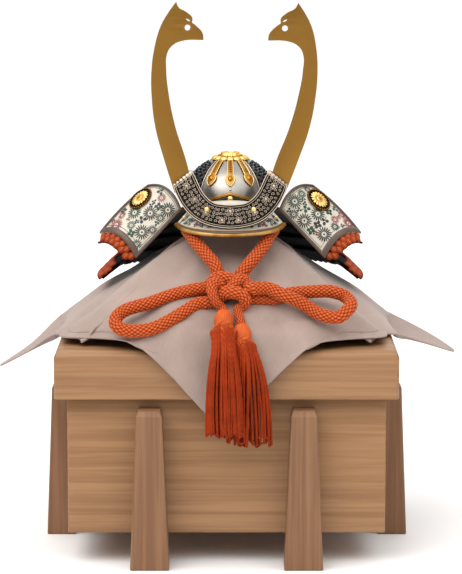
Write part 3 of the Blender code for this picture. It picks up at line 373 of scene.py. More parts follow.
class Nodes:
    """A node tree that is being filled; values may be numbers, colours or other nodes' sockets."""

    def __init__(self, tree: bpy.types.NodeTree) -> None:
        """Keep the tree."""
        self.tree = tree

    def add(self, kind: str, inputs: dict[str | int, object] | None = None, out: str | int = 0,
            **settings: object) -> Socket:
        """Add a node, set its properties, fill its inputs and return one of its outputs."""
        node = self.tree.nodes.new(kind)
        for key, value in settings.items():
            setattr(node, key, value)
        for key, value in (inputs or {}).items():
            self.feed(node.inputs[key], value)
        return node.outputs[out]

    def feed(self, socket: Socket, value: object) -> None:
        """Link a socket or set its value."""
        if isinstance(value, Socket):
            self.tree.links.new(value, socket)
        elif isinstance(value, tuple) and len(value) == 3 and socket.type == "RGBA":
            socket.default_value = (*value, 1.0)
        else:
            socket.default_value = value

    def maths(self, operation: str, *values: object) -> Socket:
        """A Math node on one to three values."""
        return self.add("ShaderNodeMath", dict(enumerate(values)), operation=operation)

    def mix(self, share: object, first: object, second: object) -> Socket:
        """A colour between two colours."""
        return self.add("ShaderNodeMix", {0: share, 6: first, 7: second}, out=2, data_type="RGBA")

    def span(self, value: object, low: float, high: float, to_low: float = 0.0,
             to_high: float = 1.0) -> Socket:
        """Map a range of a value smoothly to another range."""
        return self.add("ShaderNodeMapRange", {0: value, 1: low, 2: high, 3: to_low, 4: to_high},
                        interpolation_type="SMOOTHSTEP")

    def noise(self, vector: object, scale: object, detail: float = 3.0, roughness: float = 0.55,
              distortion: float = 0.0) -> Socket:
        """A noise value round 0.5."""
        return self.add("ShaderNodeTexNoise", {"Vector": vector, "Scale": scale, "Detail": detail,
                                               "Roughness": roughness, "Distortion": distortion})

    def stretched(self, vector: object, scale: Triple) -> Socket:
        """A vector scaled along its axes, so that a noise on it turns into streaks."""
        return self.add("ShaderNodeMapping", {"Vector": vector, "Scale": scale})

    def wave(self, count: object) -> Socket:
        """Ridges across a count of threads: sin(pi count)."""
        return self.maths("SINE", self.maths("MULTIPLY", count, math.pi))


def group(name: str, inputs: dict[str, tuple[str, object]], outputs: dict[str, str],
          fill: Callable[[Nodes, Sockets], Sockets]) -> Tree:
    """Build a shader node group once.

    Args:
        name: The group's name.
        inputs: The socket type and the default value for each input's name.
        outputs: The socket type for each output's name.
        fill: A function that adds the nodes and returns the socket that feeds each output.
    """
    tree = bpy.data.node_groups.get(name)
    if tree:
        return tree
    tree = bpy.data.node_groups.new(name, "ShaderNodeTree")
    for label, (kind, value) in inputs.items():
        socket = tree.interface.new_socket(label, in_out="INPUT", socket_type=kind)
        if value is not None:
            socket.default_value = (*value, 1.0) if kind == "NodeSocketColor" else value
    for label, kind in outputs.items():
        tree.interface.new_socket(label, in_out="OUTPUT", socket_type=kind)
    nodes = Nodes(tree)
    entry = tree.nodes.new("NodeGroupInput")
    results = fill(nodes, {label: entry.outputs[label] for label in inputs})
    leave = tree.nodes.new("NodeGroupOutput")
    for label, socket in results.items():
        tree.links.new(socket, leave.inputs[label])
    return tree


FLOAT, VECTOR, COLOUR = "NodeSocketFloat", "NodeSocketVector", "NodeSocketColor"


def timber_group() -> Tree:
    """Long grain: streaks of two widths and pores, all stretched along the group's own X."""

    def fill(n: Nodes, s: Sockets) -> Sockets:
        """Add the nodes of the grain."""
        broad = n.noise(n.stretched(s["Vector"], (1.5, 58.0, 58.0)), 2.4, 4.0, 0.6, 0.5)
        fine = n.noise(n.stretched(s["Vector"], (7.0, 260.0, 260.0)), 1.6, 2.0, 0.5)
        pores = n.noise(n.stretched(s["Vector"], (26.0, 900.0, 900.0)), 1.0, 1.0, 0.5)
        rings = n.add("ShaderNodeTexWave", {"Vector": n.stretched(s["Vector"], (0.6, 9.0, 9.0)), "Scale": 3.2,
                                            "Distortion": 3.4, "Detail": 2.0, "Detail Scale": 1.4},
                      out=1, wave_type="BANDS", bands_direction="DIAGONAL")
        patch = n.noise(s["Vector"], 9.0, 2.0)
        tone = n.maths("ADD", n.maths("MULTIPLY", n.span(broad, 0.3, 0.7), 0.42),
                       n.maths("ADD", n.maths("MULTIPLY", fine, 0.48), n.maths("MULTIPLY", rings, 0.10)))
        body = n.mix(n.span(tone, 0.30, 0.78), s["Dark"], s["Light"])
        body = n.mix(n.maths("MULTIPLY", n.span(patch, 0.42, 0.7), 0.20), body, s["Light"])
        body = n.mix(n.span(pores, 0.62, 0.74, 0.0, 0.28), body, s["Dark"])
        height = n.maths("SUBTRACT", fine, n.span(pores, 0.60, 0.74))
        return {"Color": body, "Height": height, "Roughness": n.span(tone, 0.2, 0.8, 0.58, 0.44)}

    return group("timber", {"Vector": (VECTOR, None), "Light": (COLOUR, (0.6, 0.4, 0.25)),
                            "Dark": (COLOUR, (0.4, 0.25, 0.15))},
                 {"Color": COLOUR, "Height": FLOAT, "Roughness": FLOAT}, fill)


def weave_group() -> Tree:
    """Plain weave on a flat map in metres: two sets of threads, over and under, with slubs."""

    def fill(n: Nodes, s: Sockets) -> Sockets:
        """Add the nodes of the threads."""
        parts = n.tree.nodes.new("ShaderNodeSeparateXYZ")
        n.feed(parts.inputs[0], s["Vector"])
        drift = n.maths("MULTIPLY", n.maths("SUBTRACT", n.noise(s["Vector"], 60.0, 2.0), 0.5), 0.0016)
        across = n.maths("MULTIPLY", n.maths("ADD", parts.outputs[0], drift), s["Threads"])
        along = n.maths("MULTIPLY", n.maths("SUBTRACT", parts.outputs[1], drift), s["Threads"])
        warp, weft = (n.maths("ABSOLUTE", n.wave(count)) for count in (across, along))
        parity = n.maths("PINGPONG", n.maths("ADD", n.maths("FLOOR", across), n.maths("FLOOR", along)), 1.0)
        height = n.maths("ADD", n.maths("MULTIPLY", warp, n.maths("MULTIPLY_ADD", parity, 0.7, 0.3)),
                         n.maths("MULTIPLY", weft, n.maths("MULTIPLY_ADD", parity, -0.7, 1.0)))
        slub = n.noise(n.stretched(s["Vector"], (1.0, 14.0, 1.0)), 55.0, 2.0)
        slub_across = n.noise(n.stretched(s["Vector"], (14.0, 1.0, 1.0)), 55.0, 2.0)
        slubs = n.maths("MAXIMUM", n.span(slub, 0.55, 0.8), n.span(slub_across, 0.55, 0.8))
        return {"Height": n.maths("MULTIPLY", height, 0.6), "Slubs": slubs}

    return group("weave", {"Vector": (VECTOR, None), "Threads": (FLOAT, 1500.0)},
                 {"Height": FLOAT, "Slubs": FLOAT}, fill)


def wear_group() -> Tree:
    """Handling marks: broad blotches, fine scratches in one direction and dust specks."""

    def fill(n: Nodes, s: Sockets) -> Sockets:
        """Add the nodes of the marks."""
        blotch = n.span(n.noise(s["Vector"], n.maths("MULTIPLY", s["Scale"], 0.35), 4.0, 0.6), 0.38, 0.68)
        streaks = n.stretched(s["Vector"], (1.0, 1.0, 0.06))
        scratch = n.noise(streaks, n.maths("MULTIPLY", s["Scale"], 14.0), 2.0)
        specks = n.span(n.noise(s["Vector"], n.maths("MULTIPLY", s["Scale"], 9.0), 1.0), 0.68, 0.76)
        return {"Blotch": blotch, "Scratch": scratch, "Specks": specks}

    return group("wear", {"Vector": (VECTOR, None), "Scale": (FLOAT, 60.0)},
                 {"Blotch": FLOAT, "Scratch": FLOAT, "Specks": FLOAT}, fill)


class Base:
    """A material with its Principled BSDF, its Object coordinates and helpers for roughness and bump."""

    def __init__(self, name: str, **plain: float) -> None:
        """Make the material; plain values go straight on the shader's own sockets."""
        self.material = bpy.data.materials.new(name)
        self.material.use_nodes = True
        self.nodes = Nodes(self.material.node_tree)
        self.shader = self.material.node_tree.nodes["Principled BSDF"]
        for key, value in plain.items():
            self.shader.inputs[key.replace("_", " ")].default_value = value
        self.place = self.nodes.add("ShaderNodeTexCoord", out="Object")

    def uv(self) -> Socket:
        """The piece's own UV map."""
        return self.nodes.add("ShaderNodeUVMap", uv_map="UVMap")

    def relief(self) -> Socket:
        """The relief attribute, 0 in the grooves and 1 on the ridges; metals darken its low places as patina,
        and threads turn it into painted shade and highlight.
        """
        return self.nodes.add("ShaderNodeAttribute", out="Fac", attribute_name="relief")

    def use(self, tree: Tree, **inputs: object) -> bpy.types.Node:
        """Place a group in the material with its own values."""
        node = self.material.node_tree.nodes.new("ShaderNodeGroup")
        node.node_tree = tree
        for key, value in inputs.items():
            self.nodes.feed(node.inputs[key], value)
        return node

    def finish(self, colour: object, roughness: object = None, height: object = None, strength: float = 0.3,
               distance: float = 0.0003, metallic: float | None = None) -> Material:
        """Feed the shader and return the material.

        Args:
            colour: The base colour, a value or a socket.
            roughness: The roughness, a value or a socket.
            height: The socket for the bump's height.
            strength: The bump's strength.
            distance: The bump's depth in metres.
            metallic: 1 for metals.
        """
        self.nodes.feed(self.shader.inputs["Base Color"], colour)
        if roughness is not None:
            self.nodes.feed(self.shader.inputs["Roughness"], roughness)
        if metallic is not None:
            self.shader.inputs["Metallic"].default_value = metallic
        if height is not None:
            bump = self.nodes.add("ShaderNodeBump",
                                  {"Height": height, "Strength": strength, "Distance": distance})
            self.nodes.feed(self.shader.inputs["Normal"], bump)
        return self.material


@dataclass(frozen=True)
class Metal:
    """A metal with blotches, fine scratches and dark grooves where the relief is low."""

    name: str
    colour: Triple
    groove: Triple
    roughness: float
    spread: float = 0.08
    scratch: float = 0.12
    scale: float = 120.0

    def build(self) -> Material:
        """Make the material."""
        base = Base(self.name)
        base.shader.inputs["Specular Tint"].default_value = (*self.colour, 1.0)
        n = base.nodes
        wear = base.use(wear_group(), Vector=base.place, Scale=self.scale)
        colour = n.mix(n.span(base.relief(), 0.05, 0.7), self.groove, self.colour)
        worn = tuple(0.86 * part for part in self.colour)
        colour = n.mix(n.maths("MULTIPLY", wear.outputs["Blotch"], 0.55), colour, worn)
        colour = n.mix(n.maths("MULTIPLY", wear.outputs["Specks"], 0.07), colour, self.groove)
        rough = n.maths("MULTIPLY_ADD", wear.outputs["Blotch"], self.spread, self.roughness)
        rough = n.maths("MULTIPLY_ADD", n.span(base.relief(), 0.5, 0.0), 0.22, rough)
        return base.finish(colour, rough, wear.outputs["Scratch"], self.scratch, 0.00005, 1.0)


@dataclass(frozen=True)
class Timber:
    """Oiled light wood, whose grain runs along the UV map's first axis, in metres."""

    name: str
    light: Triple
    dark: Triple

    def build(self) -> Material:
        """Make the material."""
        base = Base(self.name, Specular_IOR_Level=0.35, Coat_Weight=0.06)
        grain = base.use(timber_group(), Vector=base.uv(), Light=self.light, Dark=self.dark)
        colour, height, rough = grain.outputs
        return base.finish(colour, rough, height, 0.25, 0.0002)


@dataclass(frozen=True)
class Linen:
    """Plain-woven cloth with slubs, a soft sheen and darker patches; the weave is darker between its threads
    as painted shade.
    """

    name: str
    light: Triple
    dark: Triple
    threads: float = 1500.0

    def build(self) -> Material:
        """Make the material."""
        base = Base(self.name, Sheen_Weight=0.25, Sheen_Roughness=0.5, Specular_IOR_Level=0.2)
        n = base.nodes
        weave = base.use(weave_group(), Vector=base.uv(), Threads=self.threads)
        patch = n.span(n.noise(base.uv(), 14.0, 4.0, 0.6), 0.35, 0.65)
        colour = n.mix(n.maths("MULTIPLY", patch, 0.5), self.light, self.dark)
        # Painted shade between the threads, where the weave's height is low.
        colour = n.mix(n.span(weave.outputs["Height"], 0.15, 0.62, 0.35, 0.0), colour, self.dark)
        slub = tuple(1.15 * part for part in self.light)
        colour = n.mix(n.maths("MULTIPLY", weave.outputs["Slubs"], 0.4), colour, slub)
        rough = n.span(patch, 0.0, 1.0, 0.88, 0.80)
        return base.finish(colour, rough, weave.outputs["Height"], 0.55, 0.00018)


@dataclass(frozen=True)
class Thread:
    """Silk or cotton thread: painted highlights of the bright colour on the ridges, painted shade of the deep
    colour in the grooves, with fine fibres along it.
    """

    name: str
    bright: Triple
    middle: Triple
    deep: Triple
    fibres: Pair = (60.0, 900.0)

    def build(self) -> Material:
        """Make the material."""
        base = Base(self.name, Sheen_Weight=0.02, Sheen_Roughness=0.35, Specular_IOR_Level=0.10)
        n = base.nodes
        relief = base.relief()
        fibre = n.noise(n.stretched(base.uv(), (*self.fibres, 1.0)), 1.0, 2.0)
        patch = n.noise(base.place, 90.0, 2.0)
        # Painted shade: where the relief is low the thread takes the deep colour.
        colour = n.mix(n.span(relief, 0.08, 0.62), self.deep, self.middle)
        # Painted highlight: the bright colour on the ridges, broken by the fibres.
        lit = n.maths("MULTIPLY", n.span(relief, 0.62, 1.0), n.span(fibre, 0.38, 0.62))
        colour = n.mix(n.maths("MULTIPLY", lit, 0.75), colour, self.bright)
        colour = n.mix(n.span(patch, 0.35, 0.65, 0.0, 0.22), colour, self.deep)
        return base.finish(colour, n.span(relief, 0.0, 1.0, 0.85, 0.5), fibre, 0.3, 0.0001)


@dataclass(frozen=True)
class Braid:
    """Round braid: the UV map counts strands, and each cell shows the strand that lies on top there; low
    places take the deep colour as painted shade, and the crests get bright flecks as painted highlights.
    """

    name: str
    bright: Triple
    middle: Triple
    deep: Triple

    def build(self) -> Material:
        """Make the material."""
        base = Base(self.name, Sheen_Weight=0.08, Sheen_Roughness=0.35, Specular_IOR_Level=0.22)
        n = base.nodes
        parts = n.tree.nodes.new("ShaderNodeSeparateXYZ")
        n.feed(parts.inputs[0], base.uv())
        first = n.maths("ADD", parts.outputs[0], parts.outputs[1])
        second = n.maths("SUBTRACT", parts.outputs[1], parts.outputs[0])
        cells = n.maths("ADD", n.maths("FLOOR", first), n.maths("FLOOR", second))
        parity = n.maths("FLOORED_MODULO", cells, 2.0)
        share_first, share_second = n.maths("FRACT", first), n.maths("FRACT", second)
        across = n.add("ShaderNodeMix", {0: parity, 2: share_second, 3: share_first}, data_type="FLOAT")
        along = n.add("ShaderNodeMix", {0: parity, 2: share_first, 3: share_second}, data_type="FLOAT")
        crown, arch = n.wave(across), n.wave(along)
        slant = n.maths("MULTIPLY_ADD", along, 0.6, across)
        plies = n.maths("SINE", n.maths("MULTIPLY", slant, 6.0 * math.pi))
        height = n.maths("MULTIPLY", crown, n.maths("MULTIPLY_ADD", arch, 0.5, 0.5))
        height = n.maths("MULTIPLY_ADD", plies, 0.10, height)
        fibre = n.noise(n.stretched(base.uv(), (9.0, 9.0, 1.0)), 2.0, 3.0)
        # Painted highlight: bright flecks on the strands' crests.
        crest_highlight = n.maths("MULTIPLY", n.span(height, 0.62, 0.98), n.span(fibre, 0.42, 0.62))
        # Painted shade: the deep colour where a strand dips under the next one.
        colour = n.mix(n.span(height, 0.06, 0.55), self.deep, self.middle)
        colour = n.mix(n.maths("MULTIPLY", crest_highlight, 0.62), colour, self.bright)
        return base.finish(colour, n.span(height, 0.0, 1.0, 0.85, 0.5), height, 0.8, 0.0005)


@dataclass(frozen=True)
class Lacquer:
    """Black lacquer with soft wear, glossy under a clear coat; without one it is dull and barely reflects, as
    painted shade for parts that lie in shadow.
    """

    name: str
    colour: Triple
    worn: Triple
    roughness: float = 0.27
    coat: float = 0.25

    def build(self) -> Material:
        """Make the material."""
        # Without a coat the lacquer barely reflects: painted shade for the lames that sit in shadow.
        shine = 0.4 if self.coat else 0.02
        base = Base(self.name, Coat_Weight=self.coat, Coat_Roughness=0.12, Specular_IOR_Level=shine)
        n = base.nodes
        wear = base.use(wear_group(), Vector=base.place, Scale=90.0)
        colour = n.mix(n.maths("MULTIPLY", wear.outputs["Blotch"], 0.5), self.colour, self.worn)
        colour = n.mix(n.maths("MULTIPLY", wear.outputs["Specks"], 0.5), colour, self.worn)
        rough = n.span(wear.outputs["Blotch"], 0.0, 1.0, self.roughness, self.roughness + 0.14)
        return base.finish(colour, rough, wear.outputs["Scratch"], 0.1, 0.00005)


@dataclass(frozen=True)
class Leather:
    """Pale grained leather, a little darker in its pores and along its low places."""

    name: str
    colour: Triple
    shade: Triple
    roughness: float = 0.5

    def build(self) -> Material:
        """Make the material."""
        base = Base(self.name, Coat_Weight=0.08, Coat_Roughness=0.3)
        n = base.nodes
        cells = n.add("ShaderNodeTexVoronoi", {"Vector": base.place, "Scale": 1500.0},
                      feature="DISTANCE_TO_EDGE")
        patch = n.span(n.noise(base.place, 120.0, 4.0), 0.35, 0.7)
        pores = n.span(cells, 0.0, 0.18)
        colour = n.mix(n.maths("MULTIPLY", patch, 0.35), self.colour, self.shade)
        colour = n.mix(n.span(pores, 0.0, 1.0, 0.22, 0.0), colour, self.shade)
        rough = n.span(patch, 0.0, 1.0, self.roughness - 0.06, self.roughness + 0.08)
        return base.finish(colour, rough, pores, 0.25, 0.00008)


class Finish(Enum):
    """Every finish of the helmet and its stand, with the record's material slot that it belongs to."""

    TIMBER = Timber("oiled_timber", (0.350, 0.185, 0.083), (0.262, 0.130, 0.056)), "wood"
    LEG_TIMBER = Timber("oiled_leg_timber", (0.270, 0.136, 0.065), (0.190, 0.088, 0.040)), "wood"
    LINEN = Linen("taupe_linen", (0.400, 0.300, 0.255), (0.270, 0.198, 0.168)), "linen"
    LACQUER = Lacquer("black_lacquer", (0.0035, 0.0035, 0.004), (0.010, 0.009, 0.009)), "lacquer"
    # A copy of the black lacquer without its reflections: painted shade for the lames and the wings' end
    # plates.
    DULL_LACQUER = Lacquer("shaded_dull_lacquer", (0.004, 0.0035, 0.0035), (0.010, 0.008, 0.008),
                           0.62, 0.0), "lacquer"
    SILVER = Metal("polished_silver", (0.60, 0.56, 0.50), (0.26, 0.24, 0.22), 0.14, 0.08, 0.05), "silver"
    AGED_SILVER = Metal("antique_silver", (0.470, 0.390, 0.310), (0.030, 0.022, 0.016),
                        0.30, 0.14, 0.15), "aged_silver"
    DARK_SILVER = Metal("darkened_silver", (0.055, 0.040, 0.030), (0.012, 0.009, 0.007),
                        0.45, 0.12, 0.2), "aged_silver"
    PALE_GOLD = Metal("gilt_metal", (0.93, 0.62, 0.23), (0.26, 0.12, 0.025), 0.24, 0.10, 0.08), "pale_gold"
    DEEP_GOLD = Metal("amber_gold", (0.40, 0.17, 0.017), (0.13, 0.052, 0.008), 0.24, 0.10, 0.08), "pale_gold"
    BRASS = Metal("satin_brass", (0.300, 0.153, 0.032), (0.12, 0.060, 0.013), 0.32, 0.20, 0.3, 40.0), "brass"
    LEATHER = Leather("white_leather", (0.66, 0.61, 0.51), (0.44, 0.38, 0.29)), "leather"
    BROWN_EDGE = Leather("brown_edge_leather", (0.105, 0.060, 0.040), (0.045, 0.028, 0.020),
                         0.42), "edge_brown"
    INK_GREEN = Leather("print_deep_green", (0.006, 0.048, 0.023), (0.004, 0.026, 0.014)), "leather"
    INK_DARK = Leather("print_dark_green", (0.008, 0.013, 0.009), (0.006, 0.008, 0.006)), "leather"
    INK_ROSE = Leather("print_rose", (0.270, 0.050, 0.055), (0.16, 0.03, 0.035)), "leather"
    # For threads and the cord the bright colour is their painted highlight and the deep colour their painted
    # shade; the middle colour is their own.
    LACING = Thread("orange_lacing", (0.66, 0.19, 0.060), (0.31, 0.042, 0.010), (0.030, 0.004, 0.002),
                    (40.0, 12.0)), "lacing"
    CORD = Braid("braided_cord", (0.98, 0.42, 0.13), (0.52, 0.066, 0.006), (0.150, 0.014, 0.002)), "cord"
    TASSEL = Thread("tassel_fringe", (0.84, 0.210, 0.040), (0.34, 0.034, 0.004), (0.035, 0.003, 0.001),
                    (3.0, 400.0)), "tassel"
    TASSEL_HEAD = Thread("tassel_head", (0.86, 0.25, 0.07), (0.54, 0.090, 0.019), (0.12, 0.012, 0.003),
                         (300.0, 4.0)), "tassel"

    @property
    def slot(self) -> str:
        """The record's material slot."""
        return self.value[1]

    def material(self) -> Material:
        """The finish's material, made the first time that it is asked for."""
        look = self.value[0]
        return bpy.data.materials.get(look.name) or look.build()


# Chest and cloth


def board_map(surface: Surface, offset: Pair, upright: bool = False) -> Surface:
    """Lay a flat map in metres on each face by the side that it faces, with the grain along the first axis.

    Args:
        surface: A surface with mostly flat sides.
        offset: The place in the wood that the board is cut from.
        upright: Whether the grain runs up the board.
    """
    for index, group in enumerate(surface.faces):
        corners = surface.verts[group]
        normal = np.abs(np.cross(corners[:, 1] - corners[:, 0], corners[:, 2] - corners[:, 0]))
        facing = normal.argmax(axis=1)
        picks = np.array(((2, 1), (2, 0), (0, 1)) if upright else ((1, 2), (0, 2), (0, 1)))[facing]
        flat = np.take_along_axis(corners, picks[:, None, :].repeat(corners.shape[1], axis=1), axis=2)
        surface.uvs[index] = flat + np.array(offset) + facing[:, None, None] * 0.37
    return surface


def rounded_rectangle(width: Array, depth: Array, corner: Array, steps: int = 3) -> Array:
    """Rows of rectangles with rounded corners and a support point beside each corner.

    Args:
        width: The rectangle's size along X for each row.
        depth: Its size along Y for each row.
        corner: The corner's radius for each row.
        steps: Pieces in each corner.

    Returns:
        A (rows, points, 2) array, once round each rectangle.
    """
    turn = np.arange(4)[:, None] * math.pi / 2 + np.linspace(0.0, math.pi / 2, steps + 1)[None]
    sign_x = np.array((1, -1, -1, 1))[:, None]
    sign_y = np.array((1, 1, -1, -1))[:, None]
    width, depth, corner = (np.reshape(value, (-1, 1, 1)) for value in (width, depth, corner))
    x = sign_x * (width / 2 - corner) + corner * np.cos(turn)
    y = sign_y * (depth / 2 - corner) + corner * np.sin(turn)
    ring = np.stack([x, y], axis=3)
    after = np.roll(ring[:, :, :1], -1, axis=1)
    near, far = (ring[:, :, -1:] + share * (after - ring[:, :, -1:]) for share in (0.02, 0.98))
    ring = np.concatenate([ring, near, far], axis=2)
    return ring.reshape(len(width), -1, 2)


@dataclass
class Chest:
    """The six-legged storage chest: a box, a lid that goes over it, and tapered legs."""

    width: float = 0.262
    depth: float = 0.220
    floor_z: float = 0.026
    board: float = 0.009
    clearance: float = 0.001
    lid_height: float = 0.040
    top_z: float = 0.180
    lid_round: float = 0.007
    leg_height: float = 0.132
    leg_top: Pair = (0.021, 0.019)
    leg_foot: Pair = (0.032, 0.024)
    leg_chamfer: float = 0.004
    leg_side_chamfer: float = 0.40
    front_leg_x: float = 0.0632
    gap: float = 0.0003

    def shell(self, width: float, depth: float, profile: Sequence[Pair], corner: float,
              offset: Pair) -> Surface:
        """A hollow box: a profile of (inset from the outer face, height), carried round the rectangle."""
        rows = np.array(profile)
        ring = rounded_rectangle(width - 2 * rows[:, 0], depth - 2 * rows[:, 0],
                                 np.maximum(corner - rows[:, 0], 0.0004))
        heights = np.broadcast_to(rows[:, 1, None, None], (*ring.shape[:2], 1))
        box = grid(np.concatenate([ring, heights], axis=2), closed_columns=True, caps=True)
        return board_map(box, offset)

    def build_body(self) -> None:
        """The box with its open top, the inside first."""
        top = self.top_z - self.board - self.gap
        low, edge, b = self.floor_z, 0.0006, self.board
        profile = [(b + 0.002, low + b), (b, low + b), (b, low + b + 0.002), (b, top - edge),
                   (b - edge * 0.3, top), (edge, top), (0.0, top - edge), (0.0, low + edge + 0.001),
                   (0.0, low + edge), (edge, low), (edge + 0.002, low)]
        body = self.shell(self.width, self.depth, profile, 0.0015, (0.0, 0.0))
        piece("chest_body_boards", body, Finish.TIMBER, ("chest_body",))

    def build_lid(self) -> None:
        """The lid with its softly rounded upper edge, the inside first."""
        top, b, r, edge = self.top_z, self.board, self.lid_round, 0.0008
        low = top - self.lid_height
        arc = [(r - r * math.sin(a), top - r + r * math.cos(a)) for a in np.linspace(math.pi / 2, 0.0, 7)]
        profile = [(b + 0.002, top - b), (b, top - b), (b, top - b - 0.002), (b, low + edge), (b - edge, low),
                   (edge, low), (edge * 0.3, low + edge * 0.3), (0.0, low + edge), (0.0, low + edge + 0.001),
                   (0.0, top - r - 0.001), *arc, (r + 0.001, top)]
        outer = 2 * (b + self.clearance)
        lid = self.shell(self.width + outer, self.depth + outer, profile, 0.0035, (0.31, 0.53))
        piece("chest_lid_boards", lid, Finish.TIMBER, ("chest_lid",))

    def build_leg(self, name: str, place: Pair, turn: float, offset: Pair) -> None:
        """A tapered leg with its back against the chest, chamfered at its top, less so at the sides.

        Args:
            name: The CAD node.
            place: Where the middle of its back stands.
            turn: Degrees about Z from facing -Y.
            offset: The place in the wood that it is cut from.
        """
        c, edge = self.leg_chamfer, 0.0007
        tall, low = self.leg_height, self.leg_height - c
        height = np.array((0.0, 0.0, edge, edge + 0.001, low - 0.0012, low - 0.0003, low + 0.0004,
                           tall - 0.0004, tall, tall))
        inset = np.array((0.0025, edge, 0.0, 0.0, 0.0, 0.0, 0.0006, c - 0.0008, c, c + 0.0015))
        share = height / tall
        beside = inset * np.where(share > 0.5, self.leg_side_chamfer, 1.0)
        width = self.leg_foot[0] + (self.leg_top[0] - self.leg_foot[0]) * share - 2 * beside
        thick = self.leg_foot[1] + (self.leg_top[1] - self.leg_foot[1]) * share - inset
        back = np.where(height < 0.001, inset, 0.0)
        back[-1] = 0.0015
        ring = rounded_rectangle(width, thick - back, np.full(len(height), 0.0011), 2)
        y = ring[..., 1] - (thick + back)[:, None] / 2
        angle = math.radians(turn)
        x, y = (ring[..., 0] * math.cos(angle) - y * math.sin(angle) + place[0],
                ring[..., 0] * math.sin(angle) + y * math.cos(angle) + place[1])
        points = np.stack([x, y, np.broadcast_to(height[:, None], x.shape)], axis=2)
        leg = board_map(grid(points, closed_columns=True, caps=True), offset, upright=True)
        piece(name + "_board", leg, Finish.LEG_TIMBER, (name,))

    def build(self) -> None:
        """Build the chest's boards and legs."""
        self.build_body()
        self.build_lid()
        front, side = self.depth / 2 + self.gap, self.width / 2 + self.gap
        for index, (name, sign) in enumerate((("left", -1), ("right", 1))):
            self.build_leg("leg_front_" + name, (sign * self.front_leg_x, -front), 0, (1.3 + index, 0.7))
            self.build_leg("leg_back_" + name, (sign * self.front_leg_x, front), 180, (3.1 + index, 0.4))
            self.build_leg("leg_side_" + name, (sign * side, 0.0), sign * 90, (5.2 + index, 0.9))


# The hem, once round from the front corner by the left tip, the back and the right tip.
# azimuth: degrees from the front; open: azimuth near the neck, where the pleats run out; reach: share of
# the distance to the lid's edge; drop: share of the lid's height that the hem hangs below the top;
# layer: 0 lies low, 2 is the top of a pleat
HEM = np.array((
    # azimuth, open, reach, drop, layer
    (4.0, 0.0, 1.095, 1.42, 2.0),
    (12.0, 12.0, 1.075, 1.08, 2.0),
    (20.0, 22.0, 1.065, 0.56, 2.0),
    (31.0, 34.0, 1.016, 0.00, 2.0),
    (45.0, 47.0, 0.850, 0.00, 2.0),
    (57.0, 58.0, 0.960, 0.00, 2.0),
    (66.0, 64.0, 0.985, 0.00, 2.0),
    (67.5, 66.0, 0.990, 0.00, 1.5),
    (66.0, 68.0, 0.980, 0.00, 1.0),
    (58.0, 70.0, 0.900, 0.00, 1.0),
    (51.0, 72.0, 0.850, 0.00, 1.0),
    (50.0, 74.0, 0.845, 0.00, 0.5),
    (51.0, 76.0, 0.850, 0.00, 0.0),
    (60.0, 79.0, 0.880, 0.00, 0.0),
    (71.0, 83.0, 1.016, 0.00, 0.0),
    (83.0, 88.0, 1.210, 0.50, 0.0),
    (90.5, 92.0, 1.390, 0.90, 0.0),
    (101.0, 100.0, 1.200, 0.55, 0.0),
    (113.0, 112.0, 1.016, 0.00, 0.0),
    (126.0, 125.0, 0.880, 0.00, 0.0),
    (140.0, 140.0, 0.830, 0.00, 0.0),
    (154.0, 154.0, 1.016, 0.00, 0.0),
    (166.0, 167.0, 1.045, 0.90, 0.0),
    (180.0, 180.0, 1.070, 1.75, 0.0),
    (194.0, 193.0, 1.045, 0.90, 0.0),
    (206.0, 206.0, 1.016, 0.00, 0.0),
    (220.0, 220.0, 0.830, 0.00, 0.0),
    (234.0, 235.0, 0.880, 0.00, 0.0),
    (247.0, 248.0, 1.016, 0.00, 0.0),
    (259.0, 260.0, 1.230, 0.30, 0.0),
    (269.5, 268.0, 1.390, 0.60, 0.0),
    (277.0, 272.0, 1.240, 0.34, 0.0),
    (288.0, 277.0, 1.016, 0.00, 0.0),
    (299.0, 281.0, 0.900, 0.00, 0.0),
    (309.0, 284.0, 0.845, 0.00, 0.0),
    (310.0, 286.0, 0.840, 0.00, 0.5),
    (309.0, 288.0, 0.845, 0.00, 1.0),
    (302.5, 290.0, 0.860, 0.00, 1.0),
    (296.0, 292.0, 0.925, 0.00, 1.0),
    (294.5, 294.0, 0.935, 0.00, 1.5),
    (296.0, 296.0, 0.930, 0.00, 2.0),
    (305.0, 302.0, 0.925, 0.00, 2.0),
    (316.0, 313.0, 0.860, 0.00, 2.0),
    (330.0, 326.0, 1.016, 0.00, 2.0),
    (339.0, 338.0, 1.055, 0.42, 2.0),
    (350.0, 348.0, 1.070, 1.02, 2.0),
))

# The cloth over the head of the post: share of the neck radius, share of the height from neck to top
HEAD_PROFILE = np.array(((0.00, 1.00), (0.40, 0.972), (0.68, 0.86), (0.82, 0.66), (0.87, 0.38), (1.00, 0.00)))

# The tent from the neck to the lid's edge: share of the way out, share of the height above the lid
TENT_PROFILE = np.array(((0.00, 1.00), (0.14, 0.815), (0.43, 0.560), (0.70, 0.350), (0.90, 0.175),
                         (1.00, 0.00)))

# Rows from the post to where the cloth bends over the lid's edge, then on to the hem
ROWS_TO_BEND = np.array((0.0, 0.068, 0.105, 0.137, 0.167, 0.212, 0.30, 0.44, 0.60, 0.80, 1.0))
ROWS_TO_HEM = np.array((0.30, 0.62, 1.0))

# How far each of these rows settles on the lid where the hem doesn't hang over its edge
SETTLED = np.array((0.0, 0.0, 0.0, 0.0, 0.0, 0.0, 0.0, 0.0, 0.06, 0.30, 0.66, 0.80, 0.88, 0.94))


